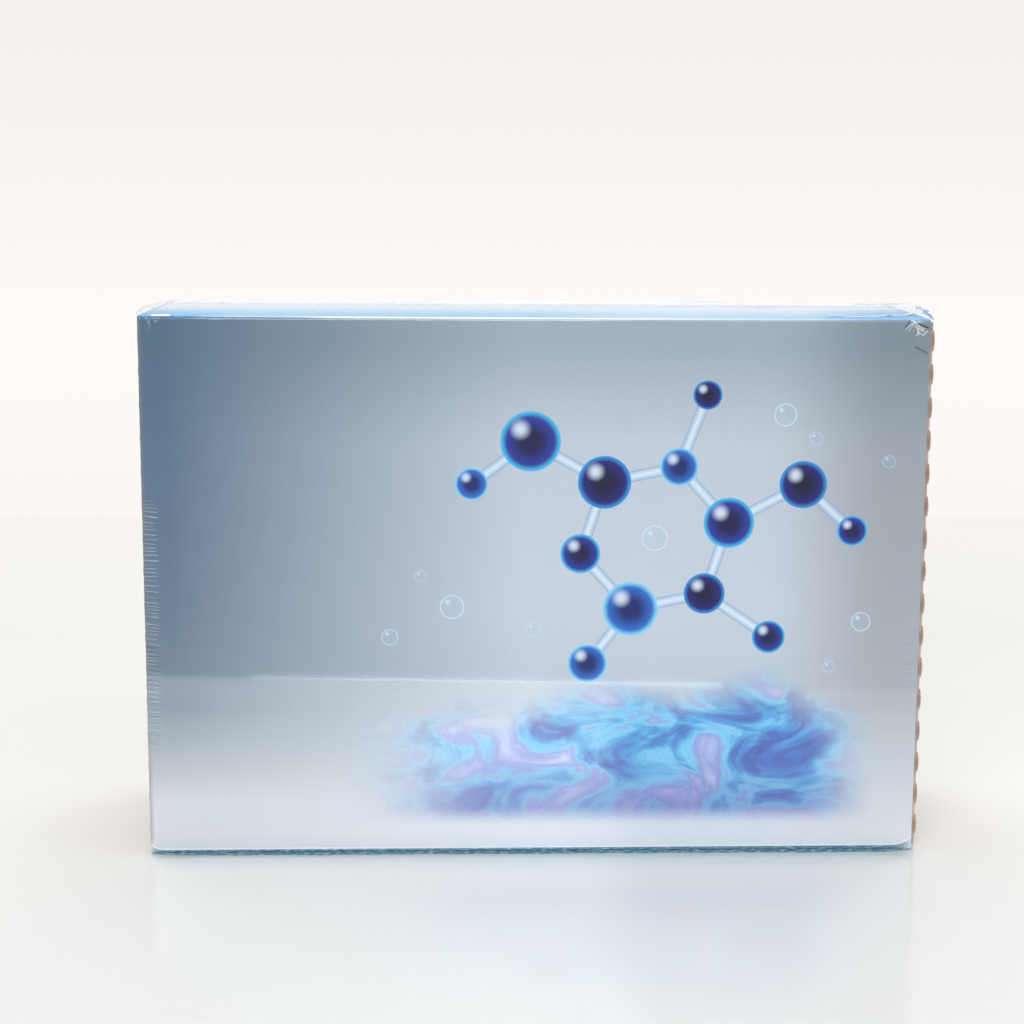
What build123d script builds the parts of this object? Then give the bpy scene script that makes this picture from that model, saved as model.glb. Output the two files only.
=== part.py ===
"""Chemistry set case: a printed slip sleeve in clear shrink film, and a corrugated drawer full of chemistry ware.

The case stands on its long edge. +X runs along the drawer's travel, +Y to the back and +Z up. The origin is the
middle of the base, on the surface the case stands on. All sizes are millimetres.
"""

import math
import os

from build123d import *

os.makedirs("parts", exist_ok=True)

# ------------------------------------------------------------------ sleeve and film
sleeve_length = 200.0
sleeve_height = 140.3
sleeve_depth = 60.0
sleeve_board = 0.5
sleeve_fold_radius = 0.8
glue_flap_width = 14.0

film_thickness = 0.1
film_overhang = 0.15
film_seam_width = 7.0
film_seam_plies = 2
film_seam_setback = 12.0

# ------------------------------------------------------------------ roll-end drawer
tray_board = 1.6
tray_clearance = 0.4
tray_show_left = 0.3
tray_show_right = 1.45
fold_slack = 0.3
ply_gap = 0.2
corner_flap_length = 38.0
lock_tab_width = 26.0
lock_tab_spacing = 72.0
lock_slot_clearance = 0.3
pop_pitch = 8.55
pop_length = 5.2
pop_height = 0.32
pop_depth = 1.3
pop_offset = 0.5

# ------------------------------------------------------------------ insert deck and booklet
deck_height = 24.0
deck_clearance = 0.4
deck_fold_radius = 1.5
deck_web = 4.4
booklet_thickness = 1.2
booklet_margin = 1.5
booklet_spine_radius = 0.5
hole_clearance = 0.3
cutout_corner_radius = 1.2

# ------------------------------------------------------------------ reagent bottles and screw caps
bottle_radius = 12.0
bottle_body_height = 31.0
bottle_shoulder_height = 4.0
bottle_shoulder_drop = 1.4
bottle_shoulder_rise = 2.8
bottle_base_radius = 1.5
bottle_label_inset = 0.3
bottle_label_height = 20.0
bottle_label_start = 5.0
neck_radius = 7.4
neck_height = 9.0
bottle_columns = 3
bottle_rows = 2

cap_radius = 9.4
cap_wall = 1.4
cap_top = 1.4
cap_skirt_gap = 0.6
cap_rib_count = 20
cap_rib_width = 0.9
cap_rib_height = 0.45
cap_edge_chamfer = 0.7
liner_thickness = 1.0
liner_clearance = 0.3

# ------------------------------------------------------------------ measuring cup and funnel
cup_radius = 12.0
cup_base_radius = 10.0
cup_height = 38.0
cup_wall = 1.2
cup_rim = 0.9
cup_rim_height = 1.8
cup_base_fillet = 1.6

funnel_radius = 12.0
funnel_rim_height = 3.0
funnel_cone_length = 14.0
funnel_stem_radius = 3.2
funnel_stem_length = 12.0
funnel_wall = 1.1
funnel_fillet = 2.5
funnel_seat_radius = 8.5

# ------------------------------------------------------------------ test tubes and stoppers
tube_radius = 8.0
tube_wall = 1.0
tube_length = 90.0
tube_lip = 1.0
tube_lip_length = 2.0
tube_rise = 4.0
tube_count = 2

stopper_plug_length = 10.0
stopper_head_length = 7.0
stopper_taper = 0.5
stopper_clearance = 0.25
stopper_edge = 0.8
stopper_travel = 14.0

# ------------------------------------------------------------------ conical flask
flask_radius = 22.0
flask_height = 78.0
flask_cone_angle = 15.0
flask_neck_radius = 10.0
flask_lip = 2.0
flask_lip_height = 3.0
flask_wall = 1.5
flask_base_fillet = 6.0
flask_neck_fillet = 12.0

# ------------------------------------------------------------------ pipette and stirring rod
pipette_length = 110.0
pipette_stem_radius = 2.4
pipette_tip_radius = 1.0
pipette_tip_length = 24.0
pipette_bulb_radius = 6.0
pipette_bulb_length = 30.0
pipette_shoulder_length = 8.0
slim_rise = 1.2
rod_radius = 2.5
rod_length = 118.0
rod_end_radius = 2.25

# ------------------------------------------------------------------ places of the board parts
tray_length = sleeve_length + tray_show_left + tray_show_right
sleeve_left = -tray_length / 2 + tray_show_left
sleeve_floor = film_thickness
sleeve_top = sleeve_floor + sleeve_height
film_length = tray_length + 2 * film_overhang

tray_floor = sleeve_floor + sleeve_board + tray_clearance
tray_height = sleeve_height - 2 * (sleeve_board + tray_clearance)
tray_top = tray_floor + tray_height
tray_middle = tray_floor + tray_height / 2
tray_rim = -sleeve_depth / 2 + sleeve_board + tray_clearance
tray_back = sleeve_depth / 2 - 2 * sleeve_board - tray_clearance
tray_base_face = tray_back - tray_board
end_face = tray_length / 2 - pop_height
rim_width = 3 * tray_board + 2 * ply_gap
inner_face = end_face - rim_width

deck_length = 2 * (inner_face - pop_height - deck_clearance)
deck_low = tray_floor + tray_board + deck_clearance
deck_high = tray_top - tray_board - deck_clearance
well_low = deck_low + tray_board
well_high = deck_high - tray_board
booklet_face = tray_base_face - booklet_thickness
deck_face = booklet_face - deck_height


def slot_half_width(radius, rise):
    """Half width of a slot whose front edges hold a round piece of that radius, its axis rise above them."""
    return math.sqrt((radius + hole_clearance) ** 2 - rise**2)


def spread(count, pitch):
    """Centres of count equal steps, laid out about zero."""
    return [(i - (count - 1) / 2) * pitch for i in range(count)]


# ------------------------------------------------------------------ layout of the ware
# Three blocks stand side by side across the deck with equal gaps: bottles, cup, funnel, tubes and pipette, then the
# flask, then the rod. The first block is a stack of rows, also with equal gaps.
bottle_hole = bottle_radius + hole_clearance
cup_hole = cup_radius + hole_clearance
funnel_reach = funnel_radius + hole_clearance
bottle_pitch = 2 * bottle_hole + deck_web
bottle_block = bottle_columns * bottle_pitch - deck_web
cup_column = max(cup_hole, funnel_reach)
stopper_reach = stopper_clearance + stopper_head_length + stopper_travel
tube_block = tube_length + stopper_reach + 2 * hole_clearance
pipette_block = pipette_length + 2 * hole_clearance

tube_window = slot_half_width(tube_radius, tube_rise)
lip_window = slot_half_width(tube_radius + tube_lip, tube_rise)
stem_window = slot_half_width(pipette_stem_radius, slim_rise)
bulb_window = slot_half_width(pipette_bulb_radius, slim_rise)
rod_window = slot_half_width(rod_radius, slim_rise)
flask_window = flask_radius + hole_clearance

ware_block = max(bottle_block + deck_web + 2 * cup_column, tube_block, pipette_block)
column_gap = (deck_length - ware_block - 2 * flask_window - 2 * rod_window) / 4
ware_left = -deck_length / 2 + column_gap
cup_x = ware_left + bottle_block + deck_web + cup_column
flask_x = ware_left + ware_block + column_gap + flask_window
rod_x = flask_x + flask_window + column_gap + rod_window

bottle_stack = bottle_rows * bottle_pitch - deck_web
cup_stack = 2 * cup_hole + deck_web + 2 * funnel_reach
upper_stack = max(bottle_stack, cup_stack)
row_gap = (well_high - well_low - upper_stack - tube_count * 2 * lip_window - 2 * bulb_window) / (tube_count + 3)
upper_middle = well_high - row_gap - upper_stack / 2
cup_z = upper_middle + cup_stack / 2 - cup_hole
funnel_z = upper_middle - cup_stack / 2 + funnel_reach
tube_top_z = well_high - row_gap - upper_stack - row_gap - lip_window
tube_heights = [tube_top_z - i * (2 * lip_window + row_gap) for i in range(tube_count)]
pipette_z = tube_heights[-1] - lip_window - row_gap - bulb_window

tube_left = ware_left + hole_clearance
tube_right = tube_left + tube_length
tube_axis_y = deck_face - tube_rise
slim_axis_y = deck_face - slim_rise

flask_base_z = (well_low + well_high - flask_height - stopper_reach) / 2
flask_mouth_z = flask_base_z + flask_height
flask_axis_y = booklet_face - flask_radius - hole_clearance


def lathe_plane(base, along, radial):
    """Sketch plane for a turned piece: its Y runs along the axis and its X is the radius."""
    return Plane(origin=base, x_dir=radial, z_dir=Vector(*radial).cross(Vector(*along)))


def write(part, name):
    part.label = name
    export_step(part, f"parts/{name}.step")


# ------------------------------------------------------------------ printed sleeve
# One sheet of paperboard folded round the drawer. Its glue flap turns up inside the back panel, whose raw edge
# stops where the bottom fold begins.
fold_line_radius = sleeve_fold_radius - sleeve_board / 2
panel_y = sleeve_depth / 2 - sleeve_board / 2
flap_y = panel_y - sleeve_board
panel_low = sleeve_floor + sleeve_board / 2
panel_high = sleeve_top - sleeve_board / 2
fold_end = sleeve_floor + sleeve_fold_radius

with BuildPart() as printed_sleeve:
    with BuildSketch(Plane.YZ.offset(sleeve_left)):
        with BuildLine():
            FilletPolyline(
                (panel_y, fold_end),
                (panel_y, panel_high),
                (-panel_y, panel_high),
                (-panel_y, panel_low),
                (flap_y, panel_low),
                (flap_y, fold_end),
                radius=fold_line_radius,
            )
        trace(line_width=sleeve_board)
        with Locations((flap_y, fold_end + glue_flap_width / 2)):
            Rectangle(sleeve_board, glue_flap_width)
    extrude(amount=sleeve_length)
write(printed_sleeve.part, "printed_sleeve")

# ------------------------------------------------------------------ shrink film
# A tube of clear film, drawn tight over the sleeve and as long as the drawer. Its weld lies along the top.
film_top = sleeve_top + film_thickness
seam_y = sleeve_depth / 2 - film_seam_setback

with BuildPart() as shrink_film:
    with BuildSketch(Plane.YZ.offset(-film_length / 2)):
        with Locations((0, sleeve_floor + sleeve_height / 2)):
            RectangleRounded(
                sleeve_depth + 2 * film_thickness,
                sleeve_height + 2 * film_thickness,
                sleeve_fold_radius + film_thickness,
            )
            RectangleRounded(sleeve_depth, sleeve_height, sleeve_fold_radius, mode=Mode.SUBTRACT)
    extrude(amount=film_length)
    with BuildSketch(Plane.XY.offset(film_top)):
        with Locations((0, seam_y)):
            Rectangle(film_length, film_seam_width)
    extrude(amount=film_seam_plies * film_thickness)
write(shrink_film.part, "shrink_film")

# ------------------------------------------------------------------ corrugated tray
# A roll-end tray folded from one blank. The long walls' corner flaps are held between the two plies of each end,
# the inner ply locks into the base, and the rim folds are slit so that their cut edges pop out between the creases.
half_board = tray_board / 2
fold_radius = half_board + fold_slack
wall_low = tray_floor + half_board
wall_high = tray_top - half_board
base_y = tray_back - half_board
outer_ply_x = end_face - half_board
inner_ply_x = inner_face + half_board
flap_ply_x = end_face - tray_board - ply_gap - half_board
wall_end = flap_ply_x - fold_radius
rim_y = tray_rim + half_board
ply_width = tray_height - 2 * (tray_board + ply_gap)
pop_count = 1 + int((ply_width - pop_length) / pop_pitch)
tab_reach = tray_board + ply_gap

with BuildPart() as kraft_tray:
    # Base and long walls.
    with BuildSketch(Plane.YZ.offset(-wall_end)):
        with BuildLine():
            FilletPolyline(
                (tray_rim, wall_low),
                (base_y, wall_low),
                (base_y, wall_high),
                (tray_rim, wall_high),
                radius=fold_radius,
            )
        trace(line_width=tray_board)
    extrude(amount=2 * wall_end)
    # Slots in the base for the lock tabs.
    with BuildSketch(Plane.XZ.offset(-tray_back)):
        for side in (-1, 1):
            for shift in spread(2, lock_tab_spacing):
                with Locations((side * inner_ply_x, tray_middle + shift)):
                    Rectangle(tray_board + 2 * lock_slot_clearance, lock_tab_width + 2 * lock_slot_clearance)
    extrude(amount=tray_board, mode=Mode.SUBTRACT)
    for side in (-1, 1):
        # Outer ply, folded up from the base.
        with BuildSketch(Plane.XY.offset(tray_floor)):
            with BuildLine():
                FilletPolyline(
                    (side * wall_end, base_y),
                    (side * outer_ply_x, base_y),
                    (side * outer_ply_x, tray_rim + tray_board),
                    radius=fold_radius,
                )
            trace(line_width=tray_board)
        extrude(amount=tray_height)
        # Rim and inner ply, rolled over the corner flaps.
        with BuildSketch(Plane.XY.offset(tray_middle - ply_width / 2)):
            with BuildLine():
                FilletPolyline(
                    (side * outer_ply_x, rim_y + 2 * fold_radius),
                    (side * outer_ply_x, rim_y),
                    (side * inner_ply_x, rim_y),
                    (side * inner_ply_x, tray_base_face - ply_gap),
                    radius=fold_radius,
                )
            trace(line_width=tray_board)
        extrude(amount=ply_width)
        # Lock tabs, through the base and flush with its back.
        with BuildSketch(Plane.XZ.offset(-tray_back)):
            for shift in spread(2, lock_tab_spacing):
                with Locations((side * inner_ply_x, tray_middle + shift)):
                    Rectangle(tray_board, lock_tab_width)
        extrude(amount=tab_reach)
        # Corner flaps of the long walls.
        for wall_z, inward in ((wall_low, 1), (wall_high, -1)):
            with BuildSketch(Plane.XZ.offset(-(tray_base_face - ply_gap))):
                with BuildLine():
                    FilletPolyline(
                        (side * (flap_ply_x - 2 * fold_radius), wall_z),
                        (side * flap_ply_x, wall_z),
                        (side * flap_ply_x, wall_z + inward * corner_flap_length),
                        radius=fold_radius,
                    )
                trace(line_width=tray_board)
            extrude(amount=tray_base_face - ply_gap - (tray_rim + tray_board + ply_gap))
    # Cut edges that pop out of the slit rim folds in shallow arcs, on both faces of each end.
    with BuildSketch(Plane.XZ.offset(-(tray_rim + pop_depth))):
        for side in (-1, 1):
            for face in (end_face, inner_face):
                for shift in spread(pop_count, pop_pitch):
                    middle = tray_middle + pop_offset + shift
                    low, high = middle - pop_length / 2, middle + pop_length / 2
                    with BuildLine():
                        for bulge in (-pop_height, pop_height):
                            ThreePointArc(
                                (side * face, low),
                                (side * face + bulge, middle),
                                (side * face, high),
                            )
                    make_face()
    extrude(amount=pop_depth - fold_slack)
write(kraft_tray.part, "kraft_tray")

# ------------------------------------------------------------------ instruction booklet
# It lies flat on the tray's base, between the legs of the deck.
booklet_height = well_high - well_low - 2 * booklet_margin
booklet_length = deck_length - 2 * booklet_margin

with BuildPart() as instruction_booklet:
    with BuildSketch(Plane.XY.offset(tray_middle - booklet_height / 2)):
        with Locations((0, tray_base_face - booklet_thickness / 2)):
            Rectangle(booklet_length, booklet_thickness)
    extrude(amount=booklet_height)
    spine = instruction_booklet.edges().filter_by(Axis.Z).group_by(Axis.X)[0]
    fillet(spine, booklet_spine_radius)
write(instruction_booklet.part, "instruction_booklet")

# ------------------------------------------------------------------ insert deck
# A folded platform on two long legs. The bottles stand through round holes, and the long pieces lie in slots.
bulb_zone = pipette_bulb_length + pipette_shoulder_length
bottle_middle_x = ware_left + bottle_block / 2
flask_slot = flask_neck_radius + flask_lip + hole_clearance
flask_slot_top = flask_height + stopper_reach + hole_clearance

flask_line = flask_wall / 2
flask_bore = flask_neck_radius - flask_wall
flask_slant = math.radians(flask_cone_angle)
flask_heel_radius = flask_base_fillet - flask_line
flask_side_x = flask_radius - flask_base_fillet + flask_heel_radius * math.cos(flask_slant)
flask_side_y = flask_base_fillet + flask_heel_radius * math.sin(flask_slant)
flask_neck_line = flask_neck_radius - flask_line
flask_shoulder = flask_side_y + (flask_side_x - flask_neck_line) / math.tan(flask_slant)

with BuildPart() as insert_deck:
    with BuildSketch(Plane.YZ.offset(-deck_length / 2)):
        with BuildLine():
            FilletPolyline(
                (tray_base_face, deck_low + half_board),
                (deck_face + half_board, deck_low + half_board),
                (deck_face + half_board, deck_high - half_board),
                (tray_base_face, deck_high - half_board),
                radius=deck_fold_radius,
            )
        trace(line_width=tray_board)
    extrude(amount=deck_length)
    with BuildSketch(Plane.XZ.offset(-deck_face)):
        with Locations((bottle_middle_x, upper_middle)):
            with GridLocations(bottle_pitch, bottle_pitch, bottle_columns, bottle_rows):
                Circle(bottle_hole)
        with Locations((cup_x, cup_z)):
            Circle(cup_hole)
        with Locations((cup_x, funnel_z)):
            Circle(funnel_seat_radius)
        for tube_z in tube_heights:
            with Locations(((tube_left + tube_right) / 2, tube_z)):
                Rectangle(tube_length + 2 * hole_clearance, 2 * tube_window)
            with Locations((tube_right + (stopper_reach - tube_lip_length) / 2, tube_z)):
                Rectangle(stopper_reach + tube_lip_length + 2 * hole_clearance, 2 * lip_window)
        with Locations((tube_left + pipette_length / 2, pipette_z)):
            Rectangle(pipette_length + 2 * hole_clearance, 2 * stem_window)
        with Locations((tube_left + bulb_zone / 2, pipette_z)):
            Rectangle(bulb_zone + 2 * hole_clearance, 2 * bulb_window)
        with Locations((rod_x, tray_middle)):
            Rectangle(2 * rod_window, rod_length + 2 * hole_clearance)
    extrude(amount=-tray_board, mode=Mode.SUBTRACT)
    with BuildSketch(Plane(origin=(flask_x, deck_face, flask_base_z), x_dir=(1, 0, 0), z_dir=(0, -1, 0))) as flask_cut:
        with BuildLine():
            Polyline(
                (0, -hole_clearance),
                (flask_window, -hole_clearance),
                (flask_window, flask_base_fillet),
                (flask_slot, flask_shoulder),
                (flask_slot, flask_slot_top),
                (0, flask_slot_top),
                close=True,
            )
        make_face()
        mirror(about=Plane.YZ)
        fillet(flask_cut.vertices(), cutout_corner_radius)
    extrude(amount=-tray_board, mode=Mode.SUBTRACT)
write(insert_deck.part, "insert_deck")

# ------------------------------------------------------------------ reagent bottles and screw caps
# Filled bottles with a shallow label panel. Each cap is a ribbed cup over the neck, and its liner seals the rim.
outward = (0, -1, 0)
shoulder_top = bottle_body_height + bottle_shoulder_height
neck_top = shoulder_top + neck_height
cap_skirt = shoulder_top + cap_skirt_gap
cap_roof = neck_top + liner_thickness
cap_end = cap_roof + cap_top
cap_bore = cap_radius - cap_wall
label_radius = bottle_radius - bottle_label_inset
label_end = bottle_label_start + bottle_label_height


def reagent_bottle(foot):
    """A bottle that stands on foot with its neck to the front."""
    with BuildPart() as bottle:
        with BuildSketch(lathe_plane(foot, outward, (1, 0, 0))):
            with BuildLine():
                Line((0, 0), (bottle_radius - bottle_base_radius, 0))
                RadiusArc(
                    (bottle_radius - bottle_base_radius, 0),
                    (bottle_radius, bottle_base_radius),
                    -bottle_base_radius,
                )
                Polyline(
                    (bottle_radius, bottle_base_radius),
                    (bottle_radius, bottle_label_start),
                    (label_radius, bottle_label_start),
                    (label_radius, label_end),
                    (bottle_radius, label_end),
                    (bottle_radius, bottle_body_height),
                )
                ThreePointArc(
                    (bottle_radius, bottle_body_height),
                    (bottle_radius - bottle_shoulder_drop, bottle_body_height + bottle_shoulder_rise),
                    (neck_radius, shoulder_top),
                )
                Polyline((neck_radius, shoulder_top), (neck_radius, neck_top), (0, neck_top), (0, 0))
            make_face()
        revolve(axis=Axis(foot, outward))
    return bottle.part


def screw_cap(foot):
    """A cap screwed down on the bottle that stands on foot."""
    rim = Plane(origin=(foot[0], foot[1] - cap_skirt, foot[2]), x_dir=(1, 0, 0), z_dir=outward)
    with BuildPart() as cap:
        with BuildSketch(lathe_plane(foot, outward, (1, 0, 0))):
            with BuildLine():
                Polyline(
                    (cap_bore, cap_skirt),
                    (cap_radius, cap_skirt),
                    (cap_radius, cap_end - cap_edge_chamfer),
                    (cap_radius - cap_edge_chamfer, cap_end),
                    (0, cap_end),
                    (0, cap_roof),
                    (cap_bore, cap_roof),
                    close=True,
                )
            make_face()
        revolve(axis=Axis(foot, outward))
        with BuildSketch(rim):
            with PolarLocations(cap_radius, cap_rib_count):
                Rectangle(2 * cap_rib_height, cap_rib_width)
        extrude(amount=cap_end - cap_skirt - 2 * cap_edge_chamfer)
    return cap.part


def cap_liner(foot):
    """The sealing disc between the rim of the bottle that stands on foot and its cap."""
    rim = Plane(origin=(foot[0], foot[1] - neck_top, foot[2]), x_dir=(1, 0, 0), z_dir=outward)
    with BuildPart() as liner:
        with BuildSketch(rim):
            Circle(cap_bore - liner_clearance)
        extrude(amount=liner_thickness)
    return liner.part


bottle_feet = [
    (bottle_middle_x + column, booklet_face, upper_middle - row)
    for row in spread(bottle_rows, bottle_pitch)
    for column in spread(bottle_columns, bottle_pitch)
]
for number, foot in enumerate(bottle_feet, start=1):
    write(reagent_bottle(foot), f"reagent_bottle_{number}")
    write(screw_cap(foot), f"bottle_cap_{number}")
    write(cap_liner(foot), f"cap_liner_{number}")

# ------------------------------------------------------------------ measuring cup
cup_foot = (cup_x, booklet_face, cup_z)
cup_line = cup_wall / 2

with BuildPart() as measuring_cup:
    with BuildSketch(lathe_plane(cup_foot, outward, (1, 0, 0))):
        with BuildLine():
            FilletPolyline(
                (0, cup_line),
                (cup_base_radius - cup_line, cup_line),
                (cup_radius - cup_rim - cup_line, cup_height - cup_rim_height / 2),
                radius=cup_base_fillet,
            )
        trace(line_width=cup_wall)
        with Locations((cup_radius - cup_rim - cup_line, cup_height - cup_rim_height / 2)):
            Ellipse(cup_rim + cup_line, cup_rim_height / 2)
    revolve(axis=Axis(cup_foot, outward))
write(measuring_cup.part, "measuring_cup")

# ------------------------------------------------------------------ funnel
# Its cone sits on the front edge of its hole in the deck.
funnel_line = funnel_wall / 2
funnel_slope = funnel_cone_length / (funnel_radius - funnel_stem_radius)
funnel_seat_drop = (funnel_radius - funnel_seat_radius + hole_clearance) * funnel_slope
funnel_rim = (cup_x, deck_face - funnel_seat_drop, funnel_z)

with BuildPart() as funnel:
    with BuildSketch(lathe_plane(funnel_rim, (0, 1, 0), (1, 0, 0))):
        with BuildLine():
            FilletPolyline(
                (funnel_radius - funnel_line, -funnel_rim_height),
                (funnel_radius - funnel_line, 0),
                (funnel_stem_radius - funnel_line, funnel_cone_length),
                (funnel_stem_radius - funnel_line, funnel_cone_length + funnel_stem_length),
                radius=funnel_fillet,
            )
        trace(line_width=funnel_wall)
    revolve(axis=Axis(funnel_rim, (0, 1, 0)))
write(funnel.part, "funnel")


# ------------------------------------------------------------------ stoppers
def rubber_stopper(mouth, along, radial, bore_radius, rim_radius):
    """A tapered stopper in a mouth: its plug fits the bore and its head covers the rim."""
    big = bore_radius - stopper_clearance
    small = big - stopper_taper
    head = rim_radius - stopper_edge
    with BuildPart() as stopper:
        with BuildSketch(lathe_plane(mouth, along, radial)):
            with BuildLine():
                Polyline(
                    (0, -stopper_plug_length),
                    (small - stopper_edge, -stopper_plug_length),
                    (small, stopper_edge - stopper_plug_length),
                    (big, stopper_clearance),
                    (head, stopper_clearance),
                    (head + stopper_taper, stopper_head_length - stopper_edge),
                    (head + stopper_taper - stopper_edge, stopper_head_length),
                    (0, stopper_head_length),
                    close=True,
                )
            make_face()
        revolve(axis=Axis(mouth, along))
    return stopper.part


# ------------------------------------------------------------------ test tubes
# Blown glass of one wall thickness, from the round end to the rolled lip.
rightward = (1, 0, 0)
upward = (0, 0, 1)


def test_tube(bottom, along, radial):
    """A test tube whose round end is at bottom."""
    line_radius = tube_radius - tube_wall / 2
    lip_middle = tube_length - tube_lip_length / 2
    with BuildPart() as tube:
        with BuildSketch(lathe_plane(bottom, along, radial)):
            with BuildLine():
                CenterArc((0, tube_radius), line_radius, -90, 90)
                Line((line_radius, tube_radius), (line_radius, tube_length))
            trace(line_width=tube_wall)
            with Locations((tube_radius, lip_middle)):
                Ellipse(tube_lip, tube_lip_length / 2)
            with Locations((tube_radius - tube_wall - tube_lip / 2, lip_middle)):
                Rectangle(tube_lip, tube_lip_length, mode=Mode.SUBTRACT)
        revolve(axis=Axis(bottom, along))
    return tube.part


for number, tube_z in enumerate(tube_heights, start=1):
    write(test_tube((tube_left, tube_axis_y, tube_z), rightward, upward), f"test_tube_{number}")
    tube_mouth = (tube_right, tube_axis_y, tube_z)
    stopper = rubber_stopper(tube_mouth, rightward, upward, tube_radius - tube_wall, tube_radius + tube_lip)
    write(stopper, f"tube_stopper_{number}")

# ------------------------------------------------------------------ conical flask
flask_base = (flask_x, flask_axis_y, flask_base_z)
flask_mouth = (flask_x, flask_axis_y, flask_mouth_z)
flask_lip_middle = flask_height - flask_lip_height / 2

with BuildPart() as conical_flask:
    with BuildSketch(lathe_plane(flask_base, upward, rightward)):
        with BuildLine():
            Line((0, flask_line), (flask_radius - flask_base_fillet, flask_line))
            CenterArc(
                (flask_radius - flask_base_fillet, flask_base_fillet),
                flask_heel_radius,
                -90,
                90 + flask_cone_angle,
            )
            FilletPolyline(
                (flask_side_x, flask_side_y),
                (flask_neck_line, flask_shoulder),
                (flask_neck_line, flask_height),
                radius=flask_neck_fillet,
            )
        trace(line_width=flask_wall)
        with Locations((flask_neck_radius, flask_lip_middle)):
            Ellipse(flask_lip, flask_lip_height / 2)
        with Locations((flask_bore - flask_lip / 2, flask_lip_middle)):
            Rectangle(flask_lip, flask_lip_height, mode=Mode.SUBTRACT)
    revolve(axis=Axis(flask_base, upward))
write(conical_flask.part, "conical_flask")

stopper = rubber_stopper(flask_mouth, upward, rightward, flask_bore, flask_neck_radius + flask_lip)
write(stopper, "flask_stopper")

# ------------------------------------------------------------------ transfer pipette
# Its bulb is to the left and its tip to the right.
stem_start = pipette_bulb_length + pipette_shoulder_length
tip_start = pipette_length - pipette_tip_length
pipette_end = (tube_left, slim_axis_y, pipette_z)

with BuildPart() as transfer_pipette:
    with BuildSketch(lathe_plane(pipette_end, rightward, upward)):
        with BuildLine():
            CenterArc((0, pipette_bulb_radius), pipette_bulb_radius, -90, 90)
            Line((pipette_bulb_radius, pipette_bulb_radius), (pipette_bulb_radius, pipette_bulb_length))
            Spline(
                (pipette_bulb_radius, pipette_bulb_length),
                (pipette_stem_radius, stem_start),
                tangents=[(0, 1), (0, 1)],
            )
            Polyline(
                (pipette_stem_radius, stem_start),
                (pipette_stem_radius, tip_start),
                (pipette_tip_radius, pipette_length),
                (0, pipette_length),
                (0, 0),
            )
        make_face()
    revolve(axis=Axis(pipette_end, rightward))
write(transfer_pipette.part, "transfer_pipette")

# ------------------------------------------------------------------ stirring rod
rod_plane = Plane(origin=(rod_x, slim_axis_y, tray_middle - rod_length / 2), x_dir=(1, 0, 0), z_dir=upward)

with BuildPart() as stirring_rod:
    with BuildSketch(rod_plane):
        Circle(rod_radius)
    extrude(amount=rod_length)
    fillet(stirring_rod.edges().filter_by(GeomType.CIRCLE), rod_end_radius)
write(stirring_rod.part, "stirring_rod")
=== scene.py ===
"""Looks of the chemistry set case: printed sleeve, shrink film, corrugated drawer and the ware inside it."""

import math

import bpy
import numpy as np
from mathutils import Matrix, Vector


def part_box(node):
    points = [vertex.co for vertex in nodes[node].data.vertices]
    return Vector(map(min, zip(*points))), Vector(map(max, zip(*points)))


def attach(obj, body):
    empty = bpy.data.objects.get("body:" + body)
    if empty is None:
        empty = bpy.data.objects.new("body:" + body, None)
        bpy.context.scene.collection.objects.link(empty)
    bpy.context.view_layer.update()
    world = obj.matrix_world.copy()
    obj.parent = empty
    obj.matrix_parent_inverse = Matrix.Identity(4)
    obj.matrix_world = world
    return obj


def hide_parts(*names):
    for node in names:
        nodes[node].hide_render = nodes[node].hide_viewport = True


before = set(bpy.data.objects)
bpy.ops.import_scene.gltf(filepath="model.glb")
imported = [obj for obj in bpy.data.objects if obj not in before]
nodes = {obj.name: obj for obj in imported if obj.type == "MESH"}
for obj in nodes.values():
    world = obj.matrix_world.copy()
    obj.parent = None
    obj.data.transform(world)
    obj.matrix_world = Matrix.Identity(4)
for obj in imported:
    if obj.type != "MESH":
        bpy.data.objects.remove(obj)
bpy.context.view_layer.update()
MM = 0.001

# ---------------------------------------------------------------- small tools
MATH, VECTOR, MIX, RAMP = "ShaderNodeMath", "ShaderNodeVectorMath", "ShaderNodeMix", "ShaderNodeValToRGB"
NOISE, RANGE, MAPPING = "ShaderNodeTexNoise", "ShaderNodeMapRange", "ShaderNodeMapping"
SPLIT, JOIN = "ShaderNodeSeparateXYZ", "ShaderNodeCombineXYZ"


def linear(code):
    """Linear RGBA of an sRGB hex colour."""
    parts = [int(code[i:i + 2], 16) / 255 for i in (0, 2, 4)]
    return tuple(p / 12.92 if p <= 0.04045 else ((p + 0.055) / 1.055) ** 2.4 for p in parts) + (1.0,)


def add(tree, kind, inputs=(), stops=(), **settings):
    """Add a node. Settings are its properties, and inputs its sockets, in order or by name.

    A socket is given a value, a node or an output.
    """
    node = tree.nodes.new(kind)
    for name, value in settings.items():
        setattr(node, name, value)
    for key, value in inputs.items() if isinstance(inputs, dict) else enumerate(inputs):
        socket = node.inputs[key] if isinstance(key, int) else None
        socket = socket or next(s for s in node.inputs if s.enabled and s.name == key)
        if isinstance(value, bpy.types.Node):
            value = next(s for s in value.outputs if s.enabled)
        if isinstance(value, bpy.types.NodeSocket):
            tree.links.new(value, socket)
        else:
            socket.default_value = value
    for i, (place, code) in enumerate(stops):
        element = node.color_ramp.elements[i] if i < 2 else node.color_ramp.elements.new(place)
        element.position, element.color = place, linear(code)
    return node


def finish(name, **sockets):
    """A new material and its Principled shader, with uniform numbers on the shader's own sockets."""
    material = bpy.data.materials.new(name)
    material.use_nodes = True
    tree = material.node_tree
    shader = tree.nodes["Principled BSDF"]
    named = {socket.name.lower(): socket for socket in shader.inputs}
    for key, value in sockets.items():
        named[key.replace("_", " ").lower()].default_value = value
    return material, tree, shader


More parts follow.
